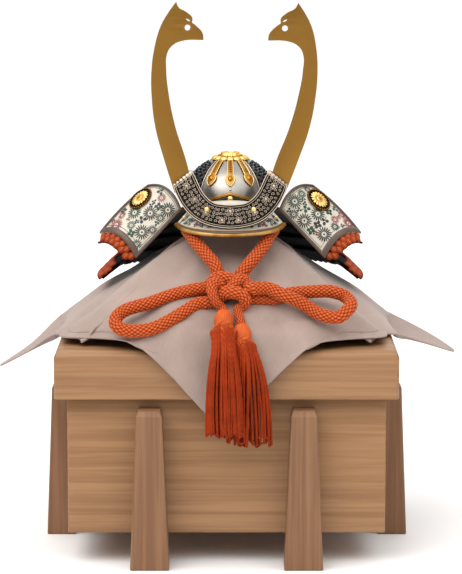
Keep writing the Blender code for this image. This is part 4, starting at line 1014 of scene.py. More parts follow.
@dataclass
class DrapedCloth:
    """A square of linen, laid corner to the front over post and lid, with a knife pleat at each side.

    Args:
        cut: The square's side.
        wall: Its thickness.
        lift: The air between cloth and lid.
        layer: The rise of one layer of a pleat.
        top_z: The middle surface over the post's head.
        neck_radius: Where the tent starts, and neck_z its height there.
        lid: The lid's width and depth.
        lid_height: Its height, lid_top_z its top and lid_round the rounding of its edge.
        gap: The air between the hanging cloth and the lid's edge.
        bend_share: Where the last row before the hem lies, where the hem lies on the lid.
        hem_rise: How high a settled hem lies.
        pleat_opens: Between these distances from the middle the pleats turn from open to laid.
        pleat_rises: Between these they gain their height.
        finer: Points between two knots.
        ray_heights_all: The heights of the broad and the small folds all round.
        ray_heights_ahead: What the front adds to them.
        crease_out: The distance of the front panel's crease, which runs between two ridges.
        crease_height: The height of its ridges.
        crease_widths: The spread of the ridges and of the line between them.
        hem_wave: The height of the waves along the hem.
    """

    cut: float = 0.330
    wall: float = 0.0012
    lift: float = 0.0006
    layer: float = 0.0018
    top_z: float = 0.3231
    neck_radius: float = 0.025
    neck_z: float = 0.270
    lid: Pair = (0.282, 0.240)
    lid_height: float = 0.040
    lid_top_z: float = 0.180
    lid_round: float = 0.007
    gap: float = 0.0003
    bend_share: float = 0.92
    hem_rise: float = 0.0010
    pleat_opens: Pair = (0.048, 0.078)
    pleat_rises: Pair = (0.030, 0.048)
    finer: int = 5
    ray_heights_all: Pair = (0.0011, 0.0005)
    ray_heights_ahead: Pair = (0.0012, 0.0003)
    crease_out: float = 0.1085
    crease_height: float = 0.0044
    crease_widths: Pair = (0.016, 0.0036)
    hem_wave: float = 0.0010

    @property
    def rest(self) -> float:
        """The height of the middle surface where the cloth lies on the lid."""
        return self.lid_top_z + self.lift + self.wall / 2

    def tent_height(self, distance: Array, edge: Array) -> Array:
        """Height over the post's head inside the neck, and along the tent's profile beyond it."""
        above = np.interp(distance / self.neck_radius, *HEAD_PROFILE.T)
        head = self.neck_z + (self.top_z - self.neck_z) * above
        out = np.minimum((distance - self.neck_radius) / (edge - self.neck_radius), 1.0)
        tent = self.rest + (self.neck_z - self.rest) * np.interp(out, *TENT_PROFILE.T)
        return np.where(distance <= self.neck_radius, head, tent)

    def knots(self) -> Array:
        """The cloth's middle surface at each row and station: distance and height, turned to the azimuth."""
        azimuth, opened, reach, drop, layer = HEM.T
        across, along = np.abs(np.sin(np.radians(azimuth))), np.abs(np.cos(np.radians(azimuth)))
        edge = np.minimum(self.lid[0] / 2 / np.maximum(across, 1e-6),
                          self.lid[1] / 2 / np.maximum(along, 1e-6))
        hem = edge * reach
        hangs, rest = reach > 1.0, self.rest
        bend = np.where(hangs, edge - self.lid_round * 0.8, hem * self.bend_share)
        inner = bend[None] * ROWS_TO_BEND[:, None]
        inner_height = self.tent_height(inner, edge[None])
        flat = bend[None] + (hem - bend)[None] * ROWS_TO_HEM[:, None]
        corner = edge + self.lift + self.wall / 2 + self.gap
        corner_height = rest - np.minimum(drop * self.lid_height, self.lid_round * 0.9)
        way = ((ROWS_TO_HEM - ROWS_TO_HEM[0]) / (1.0 - ROWS_TO_HEM[0]))[:, None]
        over = corner[None] + (hem - corner)[None] * way
        over_height = corner_height[None] + (rest - drop * self.lid_height - corner_height)[None] * way
        outer = np.where(hangs[None], over, flat)
        outer_height = np.where(hangs[None], over_height, self.tent_height(flat, edge[None]))
        distance = np.vstack([inner, outer])
        height = np.vstack([inner_height, outer_height])
        loose = 1.0 - ease(reach, 0.99, 1.03)
        height = height - (height - rest - self.hem_rise) * SETTLED[:, None] * loose[None]
        angle = np.radians(opened + (azimuth - opened) * ease(distance, *self.pleat_opens))
        height = height + layer * self.layer * ease(distance, *self.pleat_rises)
        centre = HELMET_X * (1.0 - ease(distance, self.neck_radius, self.lid[1] / 2))
        return np.stack([centre - distance * np.sin(angle), -distance * np.cos(angle), height], axis=2)

    def finer_points(self) -> tuple[Array, Array]:
        """The same surface through closed and open splines, and the flat cut's place of each point.

        The flat place is the way out along the row, turned by the open azimuth and by 45 degrees, so that the
        threads run along the square's sides.
        """
        knots = self.knots()
        stations = HEM.shape[0]
        around = np.arange(stations * self.finer) / self.finer
        points = spline(knots.transpose(1, 0, 2), around, closed=True).transpose(1, 0, 2)
        steps = np.linspace(0.0, len(knots) - 1.0, (len(knots) - 1) * self.finer + 1)
        points = spline(points, steps)
        opened = np.unwrap(np.radians(np.append(HEM[:, 1], 360.0)))
        angle = np.interp(around, np.arange(stations + 1), opened) + math.pi / 4
        out = np.concatenate([np.zeros((1, points.shape[1])),
                              np.cumsum(np.linalg.norm(np.diff(points, axis=0), axis=2), axis=0)])
        flat = np.stack([out * np.sin(angle), out * np.cos(angle)], axis=2)
        return points, flat

    def folds(self, points: Array) -> Array:
        """Soft folds outwards: shallow rays that grow from the neck, and a crease across the front panel."""
        x, y = points[..., 0] - HELMET_X, points[..., 1]
        azimuth, out = np.arctan2(-x, -y), np.hypot(x, y)
        on_slope = ease(out, 0.035, 0.070) * (1.0 - ease(out, 0.112, 0.140))
        rays = 0.5 + 0.5 * np.sin(9.0 * azimuth + 2.2 * np.sin(2.0 * azimuth) + 30.0 * out)
        small = 0.5 + 0.5 * np.sin(23.0 * azimuth - 55.0 * out + 1.3)
        ahead = np.exp(-(azimuth / 0.80) ** 4)
        lift = np.zeros_like(out)
        for fold, height, more in zip((rays, small), self.ray_heights_all, self.ray_heights_ahead):
            lift += (height + more * ahead) * on_slope * fold
        crease = out - self.crease_out - 0.016 * np.abs(azimuth)
        ridge, line = (np.exp(-(crease / width) ** 2) for width in self.crease_widths)
        front = np.exp(-(azimuth / 0.72) ** 4)
        lift += self.crease_height * front * ridge * (1.0 - line)
        lift += self.hem_wave * ease(out, 0.125, 0.155) * (0.5 + 0.5 * np.sin(11.0 * azimuth + 0.6))
        return lift

    def build(self) -> None:
        points, flat = self.finer_points()
        normal = normals_of(points, UP)
        points = points + normal * self.folds(points)[..., None]
        surface = grid(points, closed_columns=True)
        surface.uvs[0] = flat.reshape(-1, 2)[surface.faces[0]]
        cloth = piece("draped_linen", surface, Finish.LINEN, ("drape_cloth",), recalculate=False, merge=1e-6)
        walled(cloth, self.wall)
        diagonals = points[1:, 1:] - points[:-1, :-1], points[1:, :-1] - points[:-1, 1:]
        area = float(np.linalg.norm(np.cross(*diagonals), axis=2).sum() / 2)
        log.info("cloth: %.4f m2 on a cut of %.4f m2", area, self.cut ** 2)


@dataclass
class Post:
    """The plain turned post inside the cloth: a disc foot, a rod with a collar and a round head."""

    foot_z: float = 0.1803
    top_z: float = 0.3222
    foot_radius: float = 0.030
    rod_radius: float = 0.007
    head_radius: float = 0.0175
    head_angle: float = 112.0
    foot_height: float = 0.0060

    def build(self) -> None:
        """Make the post; the head's profile is (r sin t, centre + r cos t) down to the head's angle."""
        turn = np.linspace(0.0, math.radians(self.head_angle), 15)
        centre = self.top_z - self.head_radius
        head = list(zip(self.head_radius * np.sin(turn), centre + self.head_radius * np.cos(turn)))
        neck, rod, disc, low = centre - 0.0131, self.rod_radius, self.foot_radius, self.foot_z
        top = low + self.foot_height
        foot = [(rod + 0.0015, neck), (rod, neck - 0.0015), (rod, top + 0.0020), (rod + 0.0010, top + 0.0008),
                (rod + 0.0020, top), (disc - 0.0012, top), (disc, top - 0.0012), (disc, low + 0.0008),
                (disc - 0.0008, low)]
        post = turned(head + foot, 48)
        post.verts[:, 0] += HELMET_X
        piece("stand_post_turned", board_map(post, (0.4, 1.1), True), Finish.TIMBER, ("stand_post",))


# Cord and tassels


def on_knot(steps: Sequence[Sequence[float]]) -> Array:
    """Points given in millimetres across the knot, down the cloth's slope and out of the cloth."""
    across, down, out = np.array(steps, dtype=float).T / 1000.0
    cos, sin = math.cos(KNOT_SLOPE), math.sin(KNOT_SLOPE)
    return KNOT_CENTRE + np.stack([across, -down * cos - out * sin, -down * sin + out * cos], axis=1)


# The cord's runs through the knot, in the order in which one end follows them, as on_knot takes them
RUN_LEFT = ((-3.4, 17.0, -4.5), (-5.5, 12.5, -4.5), (-9.5, 11.0, -0.5), (-12.5, 6.5, 3.8), (-13.0, 0.0, 5.6),
            (-10.0, -5.2, 5.2), (-5.5, -5.5, 2.5), (-4.5, -8.5, -2.0), (-6.5, -12.0, -3.0),
            (-7.5, -16.5, 0.0))
RUN_RIGHT = ((8.5, -15.5, 0.0), (7.5, -11.0, -4.0), (4.0, -5.0, -4.5), (0.5, 0.0, -1.0), (1.5, 2.0, 3.0),
             (8.0, -6.0, 6.0), (13.0, -8.5, 4.5), (16.0, -4.0, 3.0), (18.5, 0.9, 4.8))
RUN_TOP = ((18.5, 0.9, -6.2), (13.0, -4.0, -4.5), (9.0, -7.0, -0.5), (4.5, -8.0, 4.0), (-2.0, -10.5, 6.0),
           (-9.5, -11.0, 4.5), (-14.0, -8.5, 0.5), (-18.5, -7.8, -3.5))
RUN_BOTTOM = ((-18.5, 6.7, -5.5), (-12.0, 5.0, -5.5), (-6.0, 3.0, -1.5), (-1.5, 3.5, 3.5), (4.5, 6.0, 6.0),
              (10.5, 7.5, 5.0), (14.0, 10.0, 1.0), (12.0, 12.0, -4.0), (8.0, 15.5, -4.5))

# From the knot up the left strand, round behind the post and down the right strand; places in tenths of a
# millimetre here and in the two routes below
NECK_ROUTE = np.array((
    (-96, -800, 2450), (-156, -730, 2515), (-221, -650, 2580), (-272, -570, 2635), (-310, -430, 2668),
    (-335, -230, 2668), (-330, 40, 2660), (-240, 270, 2655), (30, 385, 2650), (300, 270, 2655),
    (390, 40, 2660), (395, -230, 2668), (365, -430, 2665), (330, -570, 2622), (290, -650, 2568),
    (235, -730, 2509), (176, -800, 2450),
)) / 10000

# The bow's left loop lies flat on the cloth
LEFT_ROUTE = np.array((
    (-240, -899, 2268), (-387, -909, 2236), (-506, -947, 2205), (-629, -993, 2167), (-733, -1022, 2144),
    (-818, -1045, 2120), (-885, -1080, 2080), (-908, -1133, 2031), (-870, -1175, 1988), (-786, -1190, 1969),
    (-687, -1193, 1973), (-584, -1176, 1993), (-485, -1139, 2034), (-383, -1090, 2087), (-245, -1020, 2160),
)) / 10000

# The right loop leaves the knot on top, crosses over its own return and lies on the cloth
RIGHT_ROUTE = np.array((
    (249, -1018, 2294), (320, -1018, 2295), (379, -1032, 2281), (442, -1058, 2254), (509, -1066, 2227),
    (592, -1048, 2187), (657, -1040, 2145), (727, -1054, 2100), (785, -1078, 2079), (862, -1096, 2066),
    (925, -1098, 2072), (980, -1070, 2112), (1015, -1020, 2145), (1018, -960, 2168), (992, -900, 2190),
    (945, -872, 2218), (847, -875, 2245), (752, -881, 2246), (664, -886, 2241), (595, -896, 2237),
    (527, -911, 2232), (455, -935, 2216), (389, -957, 2201), (323, -962, 2197), (255, -960, 2200),
)) / 10000

# The tassels' drop from the knot's centre, and their sections down the middle line: places as shares of the
# drop, sizes as shares of the width
TASSEL_DROP = 0.120
FRONT_TASSEL = np.array((
    # across, forward, below, half width, half depth
    (-0.028, 0.105, 0.128, 0.200, 0.200),
    (-0.028, 0.119, 0.139, 0.340, 0.340),
    (-0.028, 0.158, 0.170, 0.400, 0.400),
    (-0.028, 0.192, 0.195, 0.390, 0.370),
    (-0.027, 0.208, 0.210, 0.330, 0.320),
    (-0.027, 0.238, 0.240, 0.440, 0.330),
    (-0.027, 0.279, 0.288, 0.490, 0.315),
    (-0.026, 0.338, 0.367, 0.540, 0.310),
    (-0.026, 0.396, 0.467, 0.650, 0.300),
    (-0.025, 0.422, 0.631, 0.750, 0.300),
    (-0.023, 0.425, 0.797, 0.795, 0.300),
    (-0.021, 0.425, 0.910, 0.825, 0.300),
))
SIDE_TASSEL = np.array((
    (0.094, 0.163, 0.206, 0.190, 0.190),
    (0.094, 0.174, 0.218, 0.300, 0.300),
    (0.098, 0.206, 0.252, 0.350, 0.350),
    (0.102, 0.230, 0.282, 0.330, 0.320),
    (0.105, 0.243, 0.299, 0.275, 0.265),
    (0.113, 0.260, 0.323, 0.380, 0.275),
    (0.127, 0.283, 0.367, 0.450, 0.275),
    (0.138, 0.308, 0.450, 0.590, 0.275),
    (0.142, 0.314, 0.589, 0.775, 0.275),
    (0.144, 0.314, 0.756, 0.910, 0.275),
    (0.146, 0.314, 1.008, 0.985, 0.275),
))


@dataclass
class Tassel:
    """A bound head, a tie round its neck, and a skirt of twisted threads that turn back at their ends."""

    name: str
    sections: Array
    seed: int
    width: float = 0.020
    neck_row: int = 4
    threads: int = 54
    inner_threads: int = 18
    thread_radius: float = 0.00088
    pitch: float = 0.0052
    ply_depth: float = 0.14
    turn_back: float = 0.0011

    def centres(self) -> Array:
        """The middle line's points: shares of the drop from the knot's centre."""
        return KNOT_CENTRE + self.sections[:, :3] * (TASSEL_DROP, -TASSEL_DROP, -TASSEL_DROP)

    def frame(self, at: Array) -> tuple[Array, Array, Array, Array]:
        """Middle, depth direction, half width and half depth at places counted in sections."""
        middle = spline(self.centres(), at)
        along = unit(np.gradient(middle, axis=0))
        depth = unit(np.cross(along, ACROSS))
        sizes = spline(self.sections[:, 3:], at) * self.width
        return middle, depth, sizes[:, 0], sizes[:, 1]

    def head(self) -> Surface:
        """The bell: ellipses along the middle line, with fine upright ribs of thread, lighter on the ribs and
        darker between them as painted light and shade.
        """
        at = np.linspace(0.0, self.neck_row + 0.15, 40)
        middle, depth, wide, deep = self.frame(at)
        angle = full_turn(96)
        ribs = 0.5 + 0.5 * np.cos(32 * angle)
        swell = 1.0 - 0.035 * (1.0 - ribs)[None] * ease(at, 0.1, 1.2)[:, None]
        x, y = wide[:, None] * np.cos(angle) * swell, deep[:, None] * np.sin(angle) * swell
        points = middle[:, None] + x[..., None] * ACROSS + y[..., None] * depth[:, None]
        # Painted highlight on the ribs, painted shade between them.
        relief = 0.45 + 0.55 * np.broadcast_to(ribs, points.shape[:2])
        return grid(points, closed_columns=True, caps=True, relief=relief)

    def tie(self) -> Surface:
        """Three turns of thin cord round the neck: a helix on the neck's ellipse, with two plies, lighter on
        their ridges and darker between them as painted light and shade.
        """
        turns, steps = 3, 120
        turn = np.arange(steps + 1) / steps
        at = self.neck_row - 0.55 + 1.1 * turn
        middle, depth, _, _ = self.frame(at)
        low = self.sections[self.neck_row, 3:] * self.width + 0.0004
        angle = turn * turns * math.tau
        path = middle + swung(angle, low[0] * ACROSS, low[1] * depth)
        spiral = 0.5 + 0.5 * np.cos(2 * full_turn(8)[None] - (np.arange(steps + 1) * 0.9)[:, None])
        # Painted highlight on the plies' ridges, painted shade between them.
        return tube(path, 0.0007 * (1.0 + 0.12 * spiral), 8, relief=0.4 + 0.6 * spiral)

    def skirt(self) -> Surface:
        """The threads in pairs: down one, round its end and up the next one.

        Each thread keeps its angle and its share of the section's ellipse and drifts a little. It stands out
        below the tie, and it is a tube with two plies: its radius is (1 + depth cos(2 angle - turn)) times
        the thread's. Its relief carries painted shade and highlight: the tone grows darker downwards, the
        inner threads are darker than the outer ones and the plies' ridges lighter; a random share is each
        thread's own tone.
        """
        chance = np.random.default_rng(self.seed)
        last = len(self.sections) - 1
        top = self.neck_row + 0.1
        way = np.linspace(0.0, 1.0, 46)
        full = 1.0 + 0.30 * np.exp(-((way - 0.13) / 0.11) ** 2)
        # Painted shade: the threads' tone grows darker downwards.
        down = 0.68 + 0.52 * (1.0 - way) ** 3
        painted_shade_down = np.concatenate([down, [0.66], down[::-1]])
        around = full_turn(7)
        surfaces = []
        for count, share in ((self.threads, 1.0), (self.inner_threads, 0.52)):
            outer = share == 1.0
            angles = full_turn(count)
            for pair in zip(angles[::2], angles[1::2]):
                lines = []
                length = last - 0.30 * chance.random() ** 1.5
                middle, depth, wide, deep = self.frame(top + (length - top) * way)
                for angle in pair:
                    drift = angle + (0.05 * np.sin(7.0 * way + chance.random() * 6.0)
                                     + 0.06 * chance.normal()) * way
                    close = share * (1.0 - 0.05 * chance.random() - 0.10 * way * chance.random() * outer)
                    x = (wide * close * full - self.thread_radius) * np.cos(drift)
                    y = (deep * close * full - self.thread_radius) * np.sin(drift)
                    lines.append(middle + x[:, None] * ACROSS + y[:, None] * depth)
                down_line, up_line = lines
                foot = 0.5 * (down_line[-1] + up_line[-1])
                foot = foot + unit(down_line[-1] - down_line[-2]) * self.turn_back
                path = np.vstack([down_line, foot, up_line[::-1]])
                travelled = travel(path)
                plies = np.cos(2 * around[None] - (travelled / self.pitch * math.tau)[:, None])
                radius = self.thread_radius * (1.0 + self.ply_depth * plies)
                # Painted shade and highlight: inner threads are darker and the plies' ridges lighter; the
                # random share is each thread's own tone.
                tone = 0.34 + 0.26 * outer + 0.12 * plies + 0.24 * chance.random()
                surfaces.append(tube(path, radius, 7, relief=tone * painted_shade_down[:, None],
                                     up=(0.0, -1.0, 0.1), scale=(travelled[-1], 1.0)))
        return joined(surfaces)

    def build(self) -> list[Object]:
        """Build head, tie and skirt."""
        head = piece(self.name + "_head", self.head(), Finish.TASSEL_HEAD, (self.name,))
        tie = piece(self.name + "_tie", self.tie(), Finish.TASSEL_HEAD)
        skirt = piece(self.name + "_fringe", self.skirt(), Finish.TASSEL, (self.name,))
        return [head, tie, skirt]


@dataclass
class Cord:
    """One braided cord from tassel to tassel: round the neck, and tied in front in a bow."""

    radius: float = 0.0053
    tail_radius: float = 0.0037
    strands: int = 10
    pitch: float = 0.0044
    spacing: float = 0.00078
    sides: int = 56
    relief: float = 0.11
    taper: Pair = (0.016, 0.032)

    def route(self) -> tuple[Array, Array]:
        """The cord's middle line and its first point, in the front tassel's head."""
        drop = (TASSEL_DROP, -TASSEL_DROP, -TASSEL_DROP)
        front = KNOT_CENTRE + FRONT_TASSEL[0, :3] * drop
        side, lower = KNOT_CENTRE + SIDE_TASSEL[:2, :3] * drop
        bottom = on_knot(RUN_BOTTOM)
        between = 0.35 * bottom[-1] + 0.65 * side + (0.0, -0.0006, -0.0004)
        knots = np.vstack([front, on_knot(RUN_LEFT), NECK_ROUTE, on_knot(RUN_RIGHT), RIGHT_ROUTE,
                           on_knot(RUN_TOP), LEFT_ROUTE, bottom, between, side, lower])
        return even_path(knots, self.spacing), front

    def surface(self, path: Array) -> Surface:
        """The braid: strands run both ways round, and each cell swells where its strand lies on top.

        In cells, first = around + along and second = around - along. Where the sum of their whole parts is
        even, the strand runs along first, otherwise along second. Height is sin(pi across) times
        (1 + sin(pi along)) / 2.
        """
        travelled = travel(path)
        total = travelled[-1]
        around = np.arange(self.sides) / self.sides * self.strands
        cells = total / self.pitch
        along = travelled / total * cells
        first, second = around[None] + along[:, None], around[None] - along[:, None]
        parity = np.mod(np.floor(first) + np.floor(second), 2.0)
        across = np.where(parity > 0.5, first % 1.0, second % 1.0)
        length = np.where(parity > 0.5, second % 1.0, first % 1.0)
        height = np.sin(math.pi * across) * (0.5 + 0.5 * np.sin(math.pi * length))
        near_end = np.minimum(travelled, total - travelled)
        base = self.tail_radius + (self.radius - self.tail_radius) * ease(near_end, *self.taper)
        radius = base[:, None] * (1.0 - self.relief + self.relief * 1.6 * height)
        return tube(path, radius, self.sides, relief=height, scale=(cells, float(self.strands)))

    def build(self, tassels: Sequence[Object]) -> None:
        path, front = self.route()
        cord = piece("braided_cord_run", self.surface(path), Finish.CORD,
                     ("cord_knot", "cord_neck", "cord_loop_left", "cord_loop_right", "cord_tail_front",
                      "cord_tail_side"))


# Bowl and its fittings


def on_bowl(azimuth: Array | float, polar: Array | float, radius: Array | float) -> Array:
    """A point on a sphere about the bowl's centre, at degrees from the front to the left and from the top."""
    azimuth, polar = np.radians(azimuth), np.radians(polar)
    side = np.sin(polar) * radius
    return np.stack(np.broadcast_arrays(HELMET_X - side * np.sin(azimuth), -side * np.cos(azimuth),
                                        BOWL_CENTRE_Z + np.cos(polar) * radius), axis=-1)


def bowl_axes(azimuth: Array, polar: Array) -> Array:
    """Right-hand axes on the bowl for small pieces: around, down and outwards as rows."""
    azimuth, polar = np.radians(azimuth), np.radians(polar)
    side = np.sin(polar)
    out = np.stack([-side * np.sin(azimuth), -side * np.cos(azimuth), np.cos(polar)], axis=-1)
    around = unit(np.cross(np.broadcast_to(UP, out.shape), out))
    return np.stack([around, np.cross(out, around), out], axis=-2)


def slab(points: Array, wall: float, outward: Sequence[float], crown: float = 0.0) -> Surface:
    """A closed band: both sides of a grid of points, with softly rounded long edges.

    Args:
        points: A (rows, columns, 3) grid of the middle surface.
        wall: The thickness.
        outward: A direction on the band's outer side.
        crown: How far the outer side's middle stands out beyond the wall.
    """
    normal = normals_of(points, outward)
    columns = points.shape[1]
    across = np.linspace(-1.0, 1.0, columns)
    swell = np.sqrt(np.maximum(1.0 - across ** 2, 0.0)) ** 0.35
    upper = points + normal * (wall / 2 * swell + crown * (1.0 - across ** 2))[None, :, None]
    lower = points - normal * (wall / 2 * swell)[None, :, None]
    ring = np.concatenate([upper, lower[:, ::-1][:, 1:-1]], axis=1)
    return grid(ring, closed_columns=True, caps=True)


@dataclass
class Bowl:
    """The riveted bowl, its silver front plate, three gold strips, the crown ring and the brow chevron."""

    radius: float = BOWL_RADIUS
    wall: float = 0.003
    skirt: float = 0.008
    plate_wall: float = 0.0013
    plate_half_angle: float = 41.5
    strip_wall: float = 0.001
    trim_wall: float = 0.001
    crown_radius: float = 0.0165
    crown_height: float = 0.0035
    crown_petals: int = 14
    gap: float = 0.0003
    rivet_columns: int = 29
    rivet_rows: int = 8
    rivet_sweep: Pair = (47.0, 266.0)
    rivet_top: float = 30.0
    rivet_pitch: float = 8.8
    rivet_foot: float = 96.0
    strip_span: Pair = (26.6, 66.0)
    plate_foot: float = 84.0
    brow_half_angle: float = 26.0

    def build_shell(self) -> None:
        """The hollow hemisphere with its short skirt, turned from one profile."""
        inner, rim = self.radius - self.wall, BOWL_CENTRE_Z - self.skirt
        out = [(self.radius * math.sin(a), BOWL_CENTRE_Z + self.radius * math.cos(a))
               for a in np.linspace(0.02, math.pi / 2, 30)]
        back = [(inner * math.sin(a), BOWL_CENTRE_Z + inner * math.cos(a))
                for a in np.linspace(math.pi / 2, 0.02, 24)]
        edge = [(self.radius, rim + 0.0006), (self.radius - 0.0005, rim), (inner + 0.0005, rim),
                (inner, rim + 0.0006)]
        shell = turned(out + edge + back, 96)
        shell.verts = shell.verts + (HELMET_X, 0.0, 0.0)
        piece("bowl_shell", shell, Finish.LACQUER, ("bowl",))

    def build_rivets(self) -> None:
        """Staggered rows of round rivet heads from plate edge to plate edge, smaller towards the top."""
        stud = turned([(0.0004, 0.0027), (0.0012, 0.0024), (0.0017, 0.0017), (0.0019, 0.0009), (0.0015, 0.0),
                       (0.0014, -0.0004)], 12)
        column, row = (part.ravel() for part in np.meshgrid(np.arange(self.rivet_columns),
                                                            np.arange(self.rivet_rows), indexing="ij"))
        azimuth = self.rivet_sweep[0] + self.rivet_sweep[1] * column / (self.rivet_columns - 1)
        polar = self.rivet_top + self.rivet_pitch * row + self.rivet_pitch / 2 * (column % 2)
        keep = polar < self.rivet_foot
        azimuth, polar = azimuth[keep], polar[keep]
        size = (0.60 + 0.40 * ease(polar, 26.0, 62.0))[:, None, None]
        rivets = repeated(stud, on_bowl(azimuth, polar, self.radius), bowl_axes(azimuth, polar) * size)
        piece("bowl_rivets", rivets, Finish.LACQUER)

    def build_front_plate(self) -> None:
        """The polished plate that covers the bowl's front, a band of the sphere that narrows downwards."""
        first = math.degrees(math.asin((self.crown_radius + self.gap) / self.radius))
        v = np.linspace(0.0, 1.0, 40)
        u = np.linspace(-1.0, 1.0, 61)
        width = self.plate_half_angle * (1.0 - 0.06 * ease(v, 0.75, 1.0))
        polar = first + (self.plate_foot - first) * v
        outside = self.radius + self.gap + self.plate_wall
        points = on_bowl(width[:, None] * u[None], polar[:, None], outside - self.plate_wall / 2)
        piece("front_plate_polished", slab(points, self.plate_wall, (0.0, -1.0, 0.3)), Finish.SILVER,
              ("front_plate",))
        rims = [tube(on_bowl(width * side * 0.985, polar, outside), 0.00055, 8) for side in (-1.0, 1.0)]
        piece("front_plate_edges", joined(rims), Finish.AGED_SILVER)

    def build_strips(self) -> None:
        """Three gold ribs: each widens to a leaf, with raised edges, small dark domes as painted shade for
        its holes, and a boss on its middle.
        """
        radius = self.radius + 2 * self.gap + self.plate_wall + self.strip_wall / 2
        # share of the way down, half width in metres
        shares = np.array(((0.0, 0.0023), (0.55, 0.0029), (0.62, 0.0027), (0.68, 0.0040), (0.76, 0.0046),
                           (0.84, 0.0042), (0.93, 0.0024), (1.0, 0.0004)))
        v = np.linspace(0.0, 1.0, 60)
        u = np.linspace(-1.0, 1.0, 13)
        start, reach = self.strip_span[0], self.strip_span[1] - self.strip_span[0]
        polar = start + reach * v
        # side, azimuth at the top, azimuth at the foot
        for side, top, foot in (("middle", 0.0, 0.0), ("left", 25.0, 28.5), ("right", -25.0, -28.5)):
            half = np.degrees(np.interp(v, *shares.T) / (radius * np.sin(np.radians(polar))))
            middle = top + (foot - top) * v
            points = on_bowl(middle[:, None] + half[:, None] * u[None], polar[:, None], radius)
            piece(f"strip_{side}_rib", slab(points, self.strip_wall, (0.0, -1.0, 0.3), 0.0004),
                  Finish.PALE_GOLD, ("strip_" + side,))
            at = np.linspace(0.10, 0.52, 6)
            spots = np.interp(at, v, middle)
            # Small dark domes stand in for holes: their darkness is painted shade.
            holes = repeated(dome(0.00078, 0.00040, 10, 3, 0.0004),
                             on_bowl(spots, start + reach * at, radius + self.strip_wall / 2 + 0.0003),
                             bowl_axes(spots, start + reach * at))
            piece(f"strip_{side}_dots", holes, Finish.DARK_SILVER)
            at = np.array((0.76,))
            spots = np.interp(at, v, middle)
            longer = np.array((1.0, 1.35, 1.0))[None, :, None]
            boss = repeated(dome(0.0021, 0.0016, 20, 6), on_bowl(spots, start + reach * at, radius + 0.0005),
                            bowl_axes(spots, start + reach * at) * longer)
            piece(f"strip_{side}_boss", boss, Finish.DEEP_GOLD)
            face = radius + self.strip_wall / 2
            edges = [tube(on_bowl(middle + half * sign * 0.86, polar, face), 0.00038, 6)
                     for sign in (-1.0, 1.0)]
            piece(f"strip_{side}_edges", joined(edges), Finish.PALE_GOLD)

    def build_crown(self) -> None:
        """A row of petals, a beaded ring and a raised collar round the opening at the top."""
        seat = self.radius + self.gap
        hole = 0.0045

        def over(radius: float) -> float:
            """Height of the bowl below a radius."""
            return BOWL_CENTRE_Z + math.sqrt(seat ** 2 - radius ** 2)

        under = [(r, over(r)) for r in np.linspace(self.crown_radius * 0.9, hole, 6)]
        top = over(0.0) + self.crown_height
        petals = ((0.0090, 0.0016), (0.0105, 0.0014), (0.0130, 0.0023), (0.0155, 0.0021),
                  (self.crown_radius, 0.0010))
        profile = [(hole, top - 0.0004), (hole + 0.0005, top), (0.0072, top), (0.0080, top - 0.0005),
                   *((r, over(r) + height) for r, height in petals), *under]
        rows = np.array(profile)
        angle = full_turn(224)
        petal = np.abs(np.sin(0.5 * self.crown_petals * angle))[None]
        rise = ease(rows[:, 0], 0.0095, self.crown_radius)[:, None]
        radius = rows[:, :1] * (1.0 - 0.11 * rise * (1.0 - petal ** 0.6))
        lift = 0.0006 * np.sin(math.pi * np.clip((rows[:, :1] - 0.009) / 0.0075, 0, 1)) * petal
        height = rows[:, 1:] + lift * (np.arange(len(rows)) < len(rows) - len(under))[:, None]
        points = np.stack([HELMET_X + radius * np.cos(angle), radius * np.sin(angle),
                           np.broadcast_to(height, radius.shape)], axis=2)
        relief = np.broadcast_to(0.25 + 0.75 * petal, radius.shape)
        crown = grid(points, closed_rows=True, closed_columns=True, relief=relief)
        piece("crown_petals", crown, Finish.PALE_GOLD, ("crown_ring",))
        ring, count = 0.0095, 28
        beads = full_turn(count)
        place = np.stack([HELMET_X + ring * np.cos(beads), ring * np.sin(beads),
                          np.full(count, over(ring) + 0.0016)], axis=1)
        upright = np.broadcast_to(np.eye(3), (count, 3, 3))
        piece("crown_beads", repeated(dome(0.00085, 0.0008, 10, 4), place, upright), Finish.DEEP_GOLD)

    def build_trim(self) -> None:
        """The gold chevron at the plate's foot, with its raised edges, centre stud and small silver stud."""
        radius = self.radius + 2 * self.gap + self.plate_wall + self.trim_wall / 2
        u, v = np.linspace(-1.0, 1.0, 61), np.linspace(0.0, 1.0, 9)
        half, top, face = self.brow_half_angle, 73.0 + 8.0 * np.abs(u), radius + self.trim_wall / 2
        points = on_bowl(half * u[:, None], top[:, None] + 3.4 * v[None], radius)
        piece("brow_chevron", slab(points, self.trim_wall, (0.0, -1.0, 0.1), 0.0003), Finish.PALE_GOLD,
              ("brow_trim",))
        edges = [tube(on_bowl(half * u, top + 3.4 * at, face), 0.00035, 6) for at in (0.10, 0.90)]
        piece("brow_chevron_edges", joined(edges), Finish.DEEP_GOLD)
        fall = (11.0 - 7.0 * np.abs(u)[:, None]) * v[None]
        below = on_bowl((half + 1.0) * u[:, None], top[:, None] + 3.6 + fall, radius - 0.0002)
        piece("brow_dark_field", slab(below, 0.0008, (0.0, -1.0, 0.1)), Finish.LACQUER)
        at = np.array((0.0,))
        for name, stud, polar, seat, finish in (
                ("brow_stud", dome(0.0026, 0.0020, 20, 6), at + 81.0, radius + 0.0002, Finish.PALE_GOLD),
                ("plate_stud", dome(0.0010, 0.0009, 14, 5), at + 70.0, radius - 0.0005, Finish.SILVER)):
            piece(name, repeated(stud, on_bowl(at, polar, seat), bowl_axes(at, polar)), finish)

    def build(self) -> None:
        """Build the bowl and its fittings."""
        self.build_shell()
        self.build_rivets()
        self.build_front_plate()
        self.build_strips()
        self.build_crown()
        self.build_trim()


# Visor, horn mount and horns


